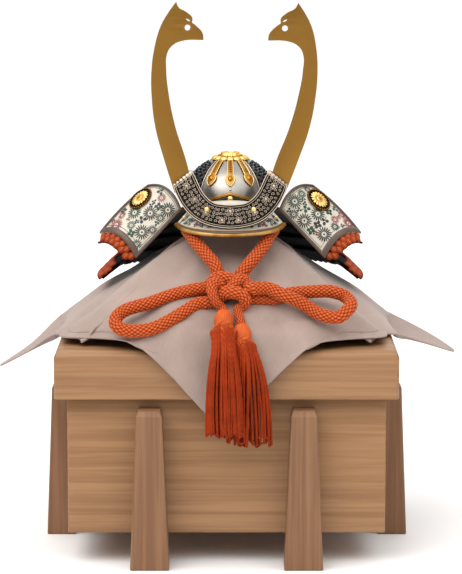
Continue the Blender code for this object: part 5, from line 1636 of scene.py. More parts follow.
@dataclass
class Visor:
    """The white leather peak: a dish between bowl and gold rim, with a dark band inside the rim."""

    wall: float = 0.0018
    seat: float = 0.0009
    half_width: float = 0.0445
    reach: float = 0.075
    top_z: float = 0.2935
    rim_z: float = 0.2705
    rim_radius: float = 0.0016
    back: float = 0.0135
    inner_sweep: float = 57.0
    outer_sweep: float = 78.0
    over_trim: float = 0.0026
    trim_ends: Pair = (26.0, 44.0)

    def point(self, side: Array, out: Array) -> Array:
        """A straight line from bowl to rim with a low crown.

        Args:
            side: From -1 at the right end to 1 at the left one.
            out: From 0 at the bowl to 1 at the rim.
        """
        side, out = np.broadcast_arrays(side, out)
        at_trim = 1.0 - ease(np.abs(self.inner_sweep * side), *self.trim_ends)
        inner_radius = BOWL_RADIUS + self.seat + self.over_trim * at_trim
        azimuth, sweep = np.radians(self.inner_sweep * side), np.radians(self.outer_sweep * side)
        inner = np.stack([-inner_radius * np.sin(azimuth), -inner_radius * np.cos(azimuth),
                          self.top_z - 0.0085 * side ** 2], axis=-1)
        outer = np.stack([-self.half_width * np.sin(sweep) / math.sin(math.radians(self.outer_sweep)),
                          -self.back - (self.reach - self.back) * np.cos(sweep) ** 0.75,
                          self.rim_z + 0.0025 * side ** 2 - 0.001 * (1 - side ** 2)], axis=-1)
        place = inner + (outer - inner) * out[..., None]
        place[..., 2] += 0.0030 * np.sin(math.pi * out) * (1 - side ** 2)
        return place + (HELMET_X, 0.0, 0.0)

    def axes(self, side: Array, out: Array) -> Array:
        """Rows along the rim, towards the rim and out of the leather, for pieces on the visor."""
        _, away, up = tangents(self.point, side, out, (0.01, 0.01), UP)
        return np.stack([np.cross(away, up), away, up], axis=-2)

    def build(self) -> None:
        """Build the dish, its band, its rim, its studs and its small print."""
        side, out = np.linspace(-1.0, 1.0, 81), np.linspace(0.0, 0.965, 17)
        points = self.point(side[:, None], out[None])
        leaf("visor_leather", points, Finish.LEATHER, ("visor",), self.wall)
        face, count = self.wall / 2 + 0.0001, 121
        band = self.point(side[:, None], np.linspace(0.930, 0.985, 7)[None])
        band = band + normals_of(band, UP) * face
        piece("visor_band", slab(band, 0.0006, UP), Finish.BROWN_EDGE)
        rim = self.point(np.linspace(-1.0, 1.0, count), np.ones(count))
        lift = self.rim_radius + 0.0003
        rim = rim + np.stack([(rim[:, 0] - HELMET_X) / self.reach * lift, np.full(count, -lift * 0.6),
                              np.full(count, -lift * 0.1)], axis=1)
        piece("visor_rim_rod", tube(rim, self.rim_radius, 20), Finish.PALE_GOLD, ("visor_rim",))
        along, beside = np.linspace(-0.99, 0.99, count), np.array((0.923, 0.933))
        normal = normals_of(self.point(along[:, None], beside[None]), UP)[:, 0]
        line = self.point(along, np.full(count, 0.928)) + normal * face
        piece("visor_band_piping", tube(line, 0.00035, 6), Finish.PALE_GOLD)
        for name, sign in (("left", 1.0), ("right", -1.0)):
            seat = seated(self.point, self.axes, 0.90 * sign, 0.62, self.wall / 2)
            stud = repeated(dome(0.0017, 0.0017, 20, 6), *seat)
            piece(f"visor_stud_{name}_dome", stud, Finish.PALE_GOLD, ("visor_stud_" + name,))
        self.build_print()

    def build_print(self) -> None:
        """Small flowers and leaves on the leather, as thin petals."""
        flowers = Print(self.point, self.axes, self.wall / 2)
        chance = np.random.default_rng(5)
        for index, side in enumerate(np.linspace(-0.84, 0.84, 15)):
            away = 0.76 if index % 2 else 0.66
            flowers.rosette(side, away, 0.0042, ("dark", "green", "dark", "rose")[index % 4], 16)
            flowers.spray(side + 0.058, 0.84, 0.0019, ("green", "dark")[index % 2], 3.0 * chance.random())
            flowers.spray(side + 0.055, 0.48, 0.0026, "green", 3.0 * chance.random())
            flowers.spray(side + 0.01, 0.30, 0.0020, "dark", 3.0 * chance.random())
        flowers.build("visor")


@dataclass
class Print:
    """A print on leather: petals, dots and leaves laid on a surface as thin raised shapes.

    Args:
        point: The surface's place for two parameters.
        axes: Its rows along, across and outwards for the same parameters.
        height: How far the leather's face stands off the middle surface.
    """

    point: Chart
    axes: Chart
    height: float
    thick: float = 0.00012
    shapes: dict[str, list[tuple[Array, Array]]] = field(default_factory=dict)

    def put(self, ink: str, place: Pair, offsets: Array, turns: Array, sizes: Array) -> None:
        """Keep small ovals: offsets and (length, width) in metres, turns in radians, round one place."""
        along, across = place
        origin = self.point(np.array((along,)), np.array((across,)))[0]
        frame = self.axes(np.array((along,)), np.array((across,)))[0]
        middle = origin + offsets @ frame[:2] + frame[2] * self.height
        x_axis = swung(turns, frame[0], frame[1])
        out = np.broadcast_to(frame[2], x_axis.shape)
        rows = np.stack([x_axis * sizes[:, :1], np.cross(out, x_axis) * sizes[:, 1:], out], axis=1)
        self.shapes.setdefault(ink, []).append((middle, rows))

    def rosette(self, along: float, across: float, radius: float, ink: str, petals: int) -> None:
        """A chrysanthemum: thin petals as ovals round a dot."""
        turns = full_turn(petals)
        ring = np.stack([np.cos(turns), np.sin(turns)], axis=1)
        sizes = np.tile((radius * 0.36, radius * 1.42 / petals), (petals, 1))
        self.put(ink, (along, across), ring * radius * 0.66, turns, sizes)
        self.put(ink, (along, across), np.zeros((1, 2)), np.zeros(1), np.full((1, 2), radius * 0.13))

    def spray(self, along: float, across: float, radius: float, ink: str, turn: float,
              leaves: int = 3) -> None:
        """A clover-like cluster of broad leaves with a stalk."""
        turns = turn + full_turn(leaves)
        ring = np.stack([np.cos(turns), np.sin(turns)], axis=1)
        sizes = np.tile((radius * 0.46, radius * 0.40), (leaves, 1))
        self.put(ink, (along, across), ring * radius * 0.58, turns, sizes)
        stalk = turn + math.pi / leaves
        self.put(ink, (along, across), np.array(((math.cos(stalk), math.sin(stalk)),)) * radius * 0.8,
                 np.array((stalk,)), np.array(((radius * 0.6, radius * 0.07),)))

    def build(self, name: str) -> None:
        """Make one piece for each ink."""
        finishes = {"green": Finish.INK_GREEN, "dark": Finish.INK_DARK, "rose": Finish.INK_ROSE}
        oval = turned([(1.0, -0.0001), (1.0, self.thick * 0.8), (0.7, self.thick)], 12)
        for ink, groups in self.shapes.items():
            middle, rows = (np.concatenate(part) for part in zip(*groups))
            surface = repeated(oval, middle, rows)
            piece(f"{name}_print_{ink}", surface, finishes[ink], smooth=False)


# The crescent's edges from the middle to the tip: share of the half width, share of the height
CRESCENT = np.array((
    # outer across, outer up, inner across, inner up
    (0.00, 0.000, 0.00, 0.560),
    (0.20, 0.025, 0.13, 0.570),
    (0.41, 0.090, 0.26, 0.600),
    (0.60, 0.210, 0.38, 0.700),
    (0.75, 0.380, 0.48, 0.860),
    (0.87, 0.590, 0.55, 1.040),
    (0.96, 0.830, 0.61, 1.220),
    (1.00, 1.000, 0.67, 1.350),
))


@dataclass
class HornMount:
    """The antique silver crescent: a dark ground with scrollwork, double border lines and bosses."""

    wall: float = 0.0016
    half_width: float = 0.0475
    bottom_z: float = 0.2742
    corner_z: float = 0.3070
    bottom_y: float = -0.0731
    slope: float = 0.62
    bow: float = 0.006

    def flat(self, along: Array, height: Array) -> Array:
        """The middle surface: it leans back with height and bows round the visor."""
        along, height = np.broadcast_arrays(along, height)
        back = self.slope * (height - self.bottom_z) + self.bow * (along / self.half_width) ** 2
        return np.stack([HELMET_X + along, self.bottom_y + back, height], axis=-1)

    def point(self, place: Array, share: Array) -> Array:
        """A point of the crescent: place runs from -1 left to 1 right, share from outer to inner edge."""
        place, share = np.broadcast_arrays(place, share)
        at = np.abs(place) * (len(CRESCENT) - 1)
        row = spline(CRESCENT, at.ravel()).reshape(*at.shape, 4)
        across = row[..., 0] + (row[..., 2] - row[..., 0]) * share
        up = row[..., 1] + (row[..., 3] - row[..., 1]) * share
        return self.flat(np.sign(place) * across * self.half_width,
                         self.bottom_z + up * (self.corner_z - self.bottom_z))

    def axes(self, place: Array, share: Array) -> Array:
        """Rows along the crescent, across it and outwards to the front."""
        wider = np.where(np.abs(place) < 0.02, 0.032, 0.012)
        along, _, out = tangents(self.point, place, share, (wider, 0.012), (0.0, -1.0, 0.0))
        return np.stack([along, np.cross(out, along), out], axis=-2)

    def build_ground(self) -> None:
        """The plate itself."""
        place, share = np.linspace(-1.0, 1.0, 121), np.linspace(0.0, 1.0, 13)
        points = self.point(place[:, None], share[None])
        leaf("horn_mount_ground", points, Finish.DARK_SILVER, ("horn_mount",), self.wall)

    def build_lines(self) -> None:
        """Two raised lines along each edge, and short ones across the tips."""
        place = np.linspace(-1.0, 1.0, 161)
        lines = []
        face = self.wall / 2 + 0.0001
        for share, radius in ((0.02, 0.00042), (0.10, 0.00024), (0.90, 0.00024), (0.98, 0.00042)):
            at = np.full(len(place), share)
            lines.append(tube(self.point(place, at) + self.axes(place, at)[:, 2] * face, radius, 6))
        for sign in (-1.0, 1.0):
            for end in (0.985, 0.945):
                at, across = np.full(16, sign * end), np.linspace(0.03, 0.97, 16)
                lines.append(tube(self.point(at, across) + self.axes(at, across)[:, 2] * face, 0.00035, 6))
        piece("horn_mount_lines", joined(lines), Finish.AGED_SILVER)

    def build_scrolls(self) -> None:
        """Scrollwork: spirals in four rows, radius = size (1 - 0.93 turn)^0.8, whose hands alternate."""
        scrolls = []
        face = self.wall / 2 + 0.00015
        turn = np.linspace(0.0, 1.0, 34)
        for index, place in enumerate(np.linspace(-0.95, 0.95, 34)):
            for row, share in enumerate((0.25, 0.42, 0.59, 0.76)):
                seat, frame = seated(self.point, self.axes, place + 0.014 * (row % 2), share, face)
                frame = frame[0]
                hand = 1.0 if (index + row) % 2 else -1.0
                size = 0.00150 if row in (1, 2) else 0.00135
                angle = hand * (0.4 + turn * 1.25 * math.tau) + index * 0.9 + row * 2.1
                radius = size * (1.0 - 0.93 * turn) ** 0.8
                path = seat + swung(angle, frame[0], frame[1]) * radius[:, None]
                scrolls.append(tube(path, 0.00026 - 0.00012 * turn, 5, up=tuple(frame[2])))
        piece("horn_mount_scrolls", joined(scrolls), Finish.AGED_SILVER)

    def build_bosses(self) -> None:
        """Silver rosettes with a ring of petals, and the two gold studs."""
        # place, share, radius
        spots = ((-0.825, 0.52, 0.0030), (-0.60, 0.55, 0.0026), (-0.36, 0.45, 0.0024), (0.0, 0.72, 0.0030),
                 (-0.115, 0.32, 0.0024), (0.115, 0.32, 0.0024), (0.36, 0.45, 0.0024), (0.60, 0.55, 0.0026),
                 (0.825, 0.52, 0.0030))
        domes, petals = [], []
        for place, share, radius in spots:
            middle, frame = seated(self.point, self.axes, place, share, self.wall / 2)
            domes.append(repeated(dome(radius * 0.58, radius * 0.55, 16, 5), middle, frame))
            around = middle + swung(full_turn(8), frame[0, 0], frame[0, 1]) * radius * 0.86
            petal = dome(radius * 0.27, radius * 0.30, 10, 4)
            petals.append(repeated(petal, around, np.repeat(frame, 8, axis=0)))
        piece("horn_mount_bosses", joined(domes), Finish.AGED_SILVER)
        piece("horn_mount_petals", joined(petals), Finish.AGED_SILVER)
        height = self.corner_z - self.bottom_z
        for name, sign in (("left", -1.0), ("right", 1.0)):
            seat = self.flat(np.array((sign * 0.41 * self.half_width,)),
                             np.array((self.bottom_z + 0.45 * height,)))
            frame = self.axes(np.array((sign * 0.50,)), np.array((0.5,)))
            stud = repeated(dome(0.0024, 0.0020, 20, 6), seat + frame[:, 2] * (self.wall / 2), frame)
            piece(f"mount_stud_{name}_dome", stud, Finish.PALE_GOLD, ("mount_stud_" + name,))

    def build_tips(self) -> None:
        """Scalloped crests along the tips' inner corners: small pointed domes that step up to the point."""
        shapes = []
        for sign in (-1.0, 1.0):
            share = np.linspace(0.08, 0.92, 6)
            place = np.full(6, sign * 0.995)
            frame = self.axes(place, share)
            size = (0.8 + 0.5 * share)[:, None, None]
            shapes.append(repeated(dome(0.0021, 0.0010, 12, 5), self.point(place, share), frame * size))
        piece("horn_mount_crests", joined(shapes), Finish.AGED_SILVER)

    def build(self) -> None:
        """Build the crescent and its work."""
        self.build_ground()
        self.build_lines()
        self.build_scrolls()
        self.build_bosses()
        self.build_tips()


# A horn from the inner end of its base round the blade, its outline as shares of spread and height
HORN_OUTLINE = (
    # out, up, corner
    (0.478, 0.010, True), (0.555, 0.130, False), (0.690, 0.306, False), (0.794, 0.515, False),
    (0.822, 0.620, False), (0.818, 0.712, False), (0.760, 0.757, False), (0.640, 0.784, False),
    (0.388, 0.790, True), (0.400, 0.826, False), (0.475, 0.866, False), (0.533, 0.886, True),
    (0.530, 0.910, False), (0.600, 0.943, False), (0.700, 0.970, False), (0.733, 1.000, True),
    (0.820, 0.942, False), (0.905, 0.868, False), (0.970, 0.755, False), (1.000, 0.620, False),
    (0.985, 0.460, False), (0.930, 0.300, False), (0.815, 0.125, False), (0.672, -0.065, True),
    (0.600, -0.090, True), (0.440, -0.020, True),
)


@dataclass
class Horns:
    """Two flat brass blades with beaked tips, a round hole and a small slot above it.

    Args:
        wall: The blade's thickness.
        height: From the base to the highest tip.
        spread: From the middle to the outermost place.
        base_z: The height that the outline is measured from.
        y: Where the blades' middle plane stands.
        lean: Degrees by which both blades lean to the right.
        levelled: Share of that lean taken back across the width, so that the tips stand level.
        raised: How far the blades stand above base_z.
        bevel: The rounded edge.
        hole: The round hole's (out, up) as shares, and its radius.
        slot: The slot's half length and half width.
    """

    wall: float = 0.0012
    height: float = 0.149
    spread: float = 0.069
    base_z: float = 0.3093
    y: float = -0.0420
    lean: float = 2.2
    levelled: float = 0.2
    raised: float = 0.0010
    bevel: float = 0.00042
    hole: Triple = (0.585, 0.858, 0.0024)
    slot: Pair = (0.0019, 0.00055)

    def build_one(self, name: str, sign: float) -> None:
        """One blade: a filled outline with bevelled edges, made a mesh and then put in its place.

        Args:
            name: left or right.
            sign: -1 for the left one.
        """
        curve = bpy.data.curves.new("outline", "CURVE")
        curve.dimensions = "2D"
        curve.fill_mode = "BOTH"
        curve.extrude = self.wall / 2 - self.bevel
        curve.bevel_depth = self.bevel
        curve.bevel_resolution = 2
        curve.offset = -self.bevel
        curve.resolution_u = 10
        line = curve.splines.new("BEZIER")
        line.bezier_points.add(len(HORN_OUTLINE) - 1)
        line.use_cyclic_u = True
        for target, (out, up, corner) in zip(line.bezier_points, HORN_OUTLINE):
            target.co = (sign * out * self.spread, up * self.height, 0.0)
            target.handle_left_type = target.handle_right_type = "VECTOR" if corner else "AUTO"
        x, y, radius = sign * self.hole[0] * self.spread, self.hole[1] * self.height, self.hole[2]
        self.ring(curve, x, y, radius, radius, 0.0)
        self.ring(curve, x - sign * 0.0002, y + 0.0062, *self.slot, sign * 0.5)
        helper = bpy.data.objects.new("outline", curve)
        bpy.context.scene.collection.objects.link(helper)
        bpy.context.view_layer.update()
        graph = bpy.context.evaluated_depsgraph_get()
        flat = bpy.data.meshes.new_from_object(helper.evaluated_get(graph))
        bpy.data.objects.remove(helper, do_unlink=True)
        bm = bmesh.new()
        bm.from_mesh(flat)
        bmesh.ops.remove_doubles(bm, verts=bm.verts, dist=1e-6)
        bmesh.ops.triangulate(bm, faces=bm.faces)
        bm.verts.index_update()
        verts = np.array([vert.co[:] for vert in bm.verts])
        faces = np.array([[vert.index for vert in face.verts] for face in bm.faces])
        bm.free()
        turn = math.radians(self.lean)
        out, up, deep = verts.T
        x = HELMET_X + out * math.cos(turn) + up * math.sin(turn)
        z = self.base_z + self.raised - self.levelled * out * math.sin(turn) + up * math.cos(turn)
        placed = np.stack([x, self.y - deep, z], axis=1)
        surface = Surface(placed, [faces], [verts[faces][..., :2]], np.ones(len(verts)))
        blade = piece(f"horn_{name}_blade", surface, Finish.BRASS, ("horn_" + name,))
        blade.data.set_sharp_from_angle(angle=math.radians(28))

    def ring(self, curve: bpy.types.Curve, x: float, y: float, wide: float, tall: float, turn: float) -> None:
        """Add an oval opening to the outline."""
        hole = curve.splines.new("POLY")
        hole.points.add(27)
        hole.use_cyclic_u = True
        for index, target in enumerate(hole.points):
            angle = math.tau * index / 28
            along, up = wide * math.cos(angle), tall * math.sin(angle)
            target.co = (x + along * math.cos(turn) - up * math.sin(turn),
                         y + along * math.sin(turn) + up * math.cos(turn), 0.0, 1.0)

    def build(self) -> None:
        """Build both blades."""
        self.build_one("left", -1.0)
        self.build_one("right", 1.0)


# Neck guard and wings


def lacing_loop() -> Surface:
    """One tight oval loop of lacing about the origin: a low dome whose relief paints fine strands across it,
    a highlight on its crown and on the half up the slope, and shade at its feet.
    """
    stitch = turned([(0.30, 0.62), (0.62, 0.52), (0.88, 0.28), (1.0, 0.0), (0.96, -0.22)], 16)
    out = np.linalg.norm(stitch.verts[:, :2], axis=1)
    # Painted light: the half of the loop that lies up the slope is lighter.
    fall = 0.22 * np.clip(-stitch.verts[:, 1], 0.0, 1.0)
    # Painted highlight on the crown, painted shade at the feet and in lines between the strands.
    return stitch.tinted(0.25 + 0.65 * (1.0 - out ** 2) + 0.18 * np.cos(9.0 * stitch.verts[:, 0]) + fall)


@dataclass
class NeckGuard:
    """Five lames behind the bowl, with rows of orange lacing that overlap downwards."""

    wall: float = 0.001
    step: float = 0.0018
    overlap: float = 0.0030
    top_radius: float = 0.0400
    top_z: float = 0.2825
    foot_radius: float = 0.1110
    foot_z: float = 0.2260
    front_y: float = -0.0275
    count: int = 5
    lacing_depth: float = -0.0008

    def place(self, out: Array, depth: Array) -> tuple[Array, Array]:
        """Radius and height for a share of the way out and a depth below the outer line."""
        width, fall = self.foot_radius - self.top_radius, self.top_z - self.foot_z
        slant = math.hypot(width, fall)
        bulge = 0.0035 * np.sin(math.pi * np.clip(out, 0.0, 1.0))
        return (self.top_radius + out * width - (depth - bulge) * fall / slant,
                self.top_z - out * fall - (depth - bulge) * width / slant)

    def point(self, turn: Array, out: Array, depth: Array) -> Array:
        """turn from 0 at the left front end to 1 at the right one; out from the bowl to the foot."""
        turn, out, depth = np.broadcast_arrays(turn, out, depth)
        radius, height = self.place(out, depth)
        front = np.degrees(np.arcsin(-self.front_y / radius))
        azimuth = np.radians(90.0 - front + (180.0 + 2 * front) * turn)
        return np.stack([HELMET_X - radius * np.sin(azimuth), -radius * np.cos(azimuth), height], axis=-1)

    def outside(self, turn: Array, out: Array) -> Array:
        """The surface that the lacing lies on."""
        return self.point(turn, out, self.lacing_depth)

    def lacing(self, rows: Sequence[float], count: int, size: float, ends: float) -> Surface:
        """Staggered loops of lacing that lie down the slope, in rows at shares of the way out.

        Args:
            rows: Each row's share of the way out.
            count: Loops in a whole row.
            size: A loop's width in metres.
            ends: The share at each front end that stays bare, where the wings hide it.
        """
        stitch = lacing_loop()
        places, frames = [], []
        for index, out in enumerate(rows):
            turn = (np.arange(count) + 0.5 * (index % 2)) / count
            turn = turn[(turn > ends) & (turn < 1.0 - ends)]
            here = np.full(len(turn), out)
            along, down, up = tangents(self.outside, turn, here, (0.002, 0.01), UP)
            places.append(self.outside(turn, here))
            frames.append(np.stack([along * size * 0.56, down * size * 0.74, up * size * 0.55], axis=1))
        return repeated(stitch, np.concatenate(places), np.concatenate(frames))

    def build(self) -> None:
        """Build the lames, their rolled lower edges and their lacing; the last lame has three closer rows."""
        share = self.overlap / math.hypot(self.foot_radius - self.top_radius, self.top_z - self.foot_z)
        turn, v = np.linspace(0.0, 1.0, 121), np.linspace(0.0, 1.0, 7)
        for index in range(self.count):
            name, last = f"neck_lame_{index + 1}", index == self.count - 1
            top = index / self.count
            foot = (index + 1) / self.count + (0.0 if last else share)
            step = foot - top
            points = self.point(turn[:, None], (top + step * v)[None], (self.step * (1 - v))[None])
            leaf(name + "_plate", points, Finish.DULL_LACQUER, (name,), self.wall)
            edge = tube(self.point(turn, foot - 0.002, 0.0), 0.00075, 8)
            piece(name + "_edge", edge, Finish.DULL_LACQUER)
            if last:
                lacing = self.lacing([top + at * step for at in (0.28, 0.62, 0.93)], 64, 0.0062, 0.004)
            else:
                lacing = self.lacing([top + at * step for at in (0.40, 0.80)], 44 + 5 * index,
                                     0.0046 + 0.0002 * index, 0.13 - 0.015 * index)
            piece(f"neck_lacing_{index + 1}", lacing, Finish.LACING)


# The wings' three long lines from the bowl to the foot, each at the inner end, the middle and the outer end,
# as shares of the spread, of the forward reach and of the rise above the foot
WING_LINES = np.array((
    # out, forward, up
    ((0.655, 0.862, 1.040), (-0.125, 0.000, 0.188), (0.915, 0.622, 0.280)),
    ((0.490, 0.690, 0.885), (0.531, 0.625, 0.750), (0.920, 0.622, 0.285)),
    ((0.385, 0.560, 0.748), (0.797, 0.906, 1.000), (0.655, 0.332, 0.000)),
))


@dataclass
class Wing:
    """A turned-back panel: white leather with a flower print, a brown rim and a gilt chrysanthemum.

    Args:
        side: left or right.
        sign: -1 for the left one.
        medallion: The flower's place, along and across the panel.
        seed: The seed of its print.
    """

    side: str
    sign: float
    medallion: Pair
    seed: int
    spread: float = 0.1065
    reach: float = 0.032
    rise: float = 0.0625
    foot_z: float = 0.2435
    wall: float = 0.0014
    rim_wall: float = 0.0010
    rim_width: float = 0.0022
    end_band: float = 0.0050
    gap: float = 0.0003
    medallion_radius: float = 0.0115
    medallion_petals: int = 16

    def point(self, along: Array, across: Array) -> Array:
        """A parabola each way: along runs from the bowl to the foot, across from the rear to the front."""
        along, across = np.broadcast_arrays(along, across)
        weights = np.stack([2 * (along - 0.5) * (along - 1), 4 * along * (1 - along),
                            2 * along * (along - 0.5)])
        rear, crest, front = np.einsum("lac,c...->l...a", WING_LINES, weights)
        bend = 2 * crest - 0.5 * (rear + front)
        share = across[..., None]
        place = (1 - share) ** 2 * rear + 2 * share * (1 - share) * bend + share ** 2 * front
        out, forward, up = np.moveaxis(place * (self.spread, self.reach, self.rise), -1, 0)
        return np.stack([HELMET_X + self.sign * out, -forward, self.foot_z + up], axis=-1)

    def axes(self, along: Array, across: Array) -> Array:
        """Rows towards the foot, across and outwards."""
        run, _, out = tangents(self.point, along, across, (0.01, 0.01), (0.0, -1.0, 1.0))
        return np.stack([run, np.cross(out, run), out], axis=-2)

    def frame_point(self, turn: Array, edge: Array) -> Array:
        """The rim's band: turn runs once round the panel, edge from its outside to its inside."""
        length = float(np.linalg.norm(self.point(1.0, 0.5) - self.point(0.0, 0.5)))
        line = self.point(0.5, np.linspace(0.0, 1.0, 7))
        width = float(np.linalg.norm(np.diff(line, axis=0), axis=1).sum())
        near, far, low = self.rim_width / length, 1 - self.end_band / length, self.rim_width / width
        inner = np.array(((near, low), (far, low), (far, 1 - low), (near, 1 - low)))
        outer = np.array(((0.0, 0.0), (1.0, 0.0), (1.0, 1.0), (0.0, 1.0)))
        turn, edge = np.broadcast_arrays(turn * 4.0, edge)
        side = turn.astype(int) % 4
        share = (turn - np.floor(turn))[..., None]
        out = outer[side] + (outer[(side + 1) % 4] - outer[side]) * share
        inn = inner[side] + (inner[(side + 1) % 4] - inner[side]) * share
        spot = out + (inn - out) * edge[..., None]
        along, across = spot[..., 0], spot[..., 1]
        raised = (self.wall + self.rim_wall) / 2 + self.gap
        return self.point(along, across) + self.axes(along, across)[..., 2, :] * raised

    def build_panel(self) -> None:
        """The leather panel with its rim and the brown double line inside it."""
        u, v = np.linspace(0.0, 1.0, 41), np.linspace(0.0, 1.0, 41)
        leaf(f"wing_{self.side}_leather", self.point(u[:, None], v[None]), Finish.LEATHER,
             ("wing_" + self.side,), self.wall)
        turn, edge = np.arange(160) / 160, np.linspace(0.0, 1.0, 7)
        points = self.frame_point(turn[:, None], edge[None])
        normal = self.band_normal(turn, edge)
        swell = np.sqrt(np.maximum(1.0 - (2 * edge - 1) ** 2, 0.0))[None, :, None] ** 0.5
        half = self.rim_wall / 2
        upper, lower = points + normal * half * swell * 1.3, points - normal * half * 1.6
        ring = np.concatenate([upper, lower[:, ::-1]], axis=1)
        piece(f"wing_rim_{self.side}_band", grid(ring, closed_rows=True, closed_columns=True),
              Finish.BROWN_EDGE, ("wing_rim_" + self.side,))
        lines = []
        for inset, radius in ((0.050, 0.00030), (0.075, 0.00022)):
            corner = np.array(((inset, inset), (1 - inset * 1.7, inset), (1 - inset * 1.7, 1 - inset),
                               (inset, 1 - inset), (inset, inset)))
            at = np.linspace(0.0, 4.0, 161)
            spot = np.stack([np.interp(at, np.arange(5), corner[:, axis]) for axis in (0, 1)], axis=1)
            path = self.point(*spot.T) + self.axes(*spot.T)[:, 2] * (self.wall / 2 + 0.00005)
            lines.append(tube(path, radius, 5))
        piece(f"wing_{self.side}_border_lines", joined(lines), Finish.BROWN_EDGE)

    def band_normal(self, turn: Array, edge: Array) -> Array:
        """Outward directions of the rim's band."""
        points = self.frame_point(turn[:, None], edge[None])
        along = np.roll(points, -1, axis=0) - np.roll(points, 1, axis=0)
        normal = unit(np.cross(along, np.gradient(points, axis=1)))
        return normal * np.sign((normal * (0.0, -1.0, 1.0)).sum(axis=-1, keepdims=True))

    def build_print(self) -> None:
        """Rosettes and then clover leaves on the places that are still free, none under the medallion."""
        flowers = Print(self.point, self.axes, self.wall / 2)
        chance = np.random.default_rng(self.seed)
        spots: list[Triple] = [(*self.medallion, self.medallion_radius + 0.0010)]
        scale, room = np.array((0.075, 0.050)), 0.0002
        # radius, count
        wanted = ((0.0066, 5), (0.0042, 6), (0.0036, 12), (0.0023, 46))
        for radius, count in wanted:
            found = 0
            for _ in range(400):
                spot = 0.10 + 0.78 * chance.random(2)
                clear = all(math.hypot(*((spot - (a, b)) * scale)) > radius + r + room for a, b, r in spots)
                if not clear or found >= count:
                    continue
                found += 1
                spots.append((float(spot[0]), float(spot[1]), radius))
                turn = float(chance.random() * math.tau)
                if radius > 0.005:
                    flowers.rosette(*spot, radius, ("dark", "dark", "green", "rose", "dark")[found % 5], 17)
                elif radius > 0.004:
                    flowers.rosette(*spot, radius, ("green", "rose", "dark")[found % 3], 14)
                elif radius > 0.003:
                    flowers.spray(*spot, radius, ("green", "green", "dark")[found % 3], turn, 3 + found % 2)
                else:
                    flowers.spray(*spot, radius, ("dark", "green", "rose")[found % 3], turn, 3)
        flowers.build("wing_" + self.side)

    def build_medallion(self) -> None:
        """A gilt chrysanthemum: a row of petals and a domed heart on a dark ring with beads."""
        seat, frame = seated(self.point, self.axes, *self.medallion, self.wall / 2 + 0.0001)
        radius, count = self.medallion_radius, self.medallion_petals
        angle = full_turn(192)
        profile = np.array(((0.0, 0.0020), (0.10, 0.0021), (0.22, 0.0019), (0.30, 0.0016), (0.45, 0.0020),
                            (0.60, 0.0021), (0.78, 0.0018), (0.90, 0.0010), (0.92, 0.0)))
        petal = np.abs(np.sin(0.5 * count * angle))[None]
        rise = ease(profile[:, 0], 0.30, 0.85)[:, None]
        r = profile[:, :1] * radius * 0.80 * (1.0 - 0.14 * rise * (1.0 - petal ** 0.6))
        z = profile[:, 1:] - 0.0006 * rise * (1.0 - petal) * (profile[:, 1:] > 0)
        points = np.stack([r * np.cos(angle), r * np.sin(angle), z], axis=2)
        relief = np.broadcast_to(1.0 - 0.9 * rise * (1.0 - petal), r.shape)
        flower = grid(points, closed_columns=True, caps=True, relief=relief)
        flower.verts = flower.verts @ frame[0] + seat[0]
        piece(f"medallion_{self.side}_flower", flower, Finish.PALE_GOLD, ("medallion_" + self.side,))
        ring = turned([(radius * 0.55, 0.0002), (radius * 0.60, 0.0010), (radius * 0.97, 0.0008),
                       (radius, 0.0004), (radius, 0.0)], 64)
        ring.verts = ring.verts @ frame[0] + seat[0]
        piece(f"medallion_{self.side}_ground", ring, Finish.DARK_SILVER)
        around = seat + swung(full_turn(32), frame[0, 0], frame[0, 1]) * radius * 0.94
        beads = repeated(dome(0.00072, 0.0012, 8, 4), around, np.repeat(frame, 32, axis=0))
        piece(f"medallion_{self.side}_beads", beads, Finish.DEEP_GOLD)
        heart = repeated(dome(0.0016, 0.0012, 16, 5), seat + frame[:, 2] * 0.0018, frame)
        piece(f"medallion_{self.side}_heart", heart, Finish.DEEP_GOLD)

    def build_end_lacing(self) -> None:
        """The laced strip below the wing's end: a dark plate, two staggered rows and a dark edge."""
        u, v = np.linspace(0.99, 1.150, 9), np.linspace(0.07, 0.97, 33)
        drop = self.axes(np.full(33, 1.0), v)[:, 2] * 0.0014
        points = self.point(u[:, None], v[None]) - drop[None] * (1.0 + ease(u, 0.99, 1.15)[:, None, None])
        leaf(f"wing_{self.side}_end_plate", points, Finish.DULL_LACQUER, (), 0.0008)
        places, frames = [], []
        for row, (along, count) in enumerate(((1.045, 7), (1.110, 6))):
            across, at = 0.12 + 0.80 * (np.arange(count) + 0.5 * row) / 6.0, np.full(count, along)
            axes = self.axes(at, across)
            places.append(self.point(at, across) - axes[:, 2] * 0.0008)
            frames.append(np.stack([axes[:, 1] * 0.0034, axes[:, 0] * 0.0037, axes[:, 2] * 0.0032], axis=1))
        loops = repeated(lacing_loop(), np.concatenate(places), np.concatenate(frames))
        piece(f"wing_{self.side}_end_lacing", loops, Finish.LACING)
        edge = np.full(33, 1.148)
        path = self.point(edge, v) - self.axes(edge, v)[:, 2] * 0.0018
        piece(f"wing_{self.side}_end_edge", tube(path, 0.0009, 8), Finish.DULL_LACQUER)

    def build(self) -> None:
        """Build the wing."""
        self.build_panel()
        self.build_print()
        self.build_medallion()
        self.build_end_lacing()


# Studio


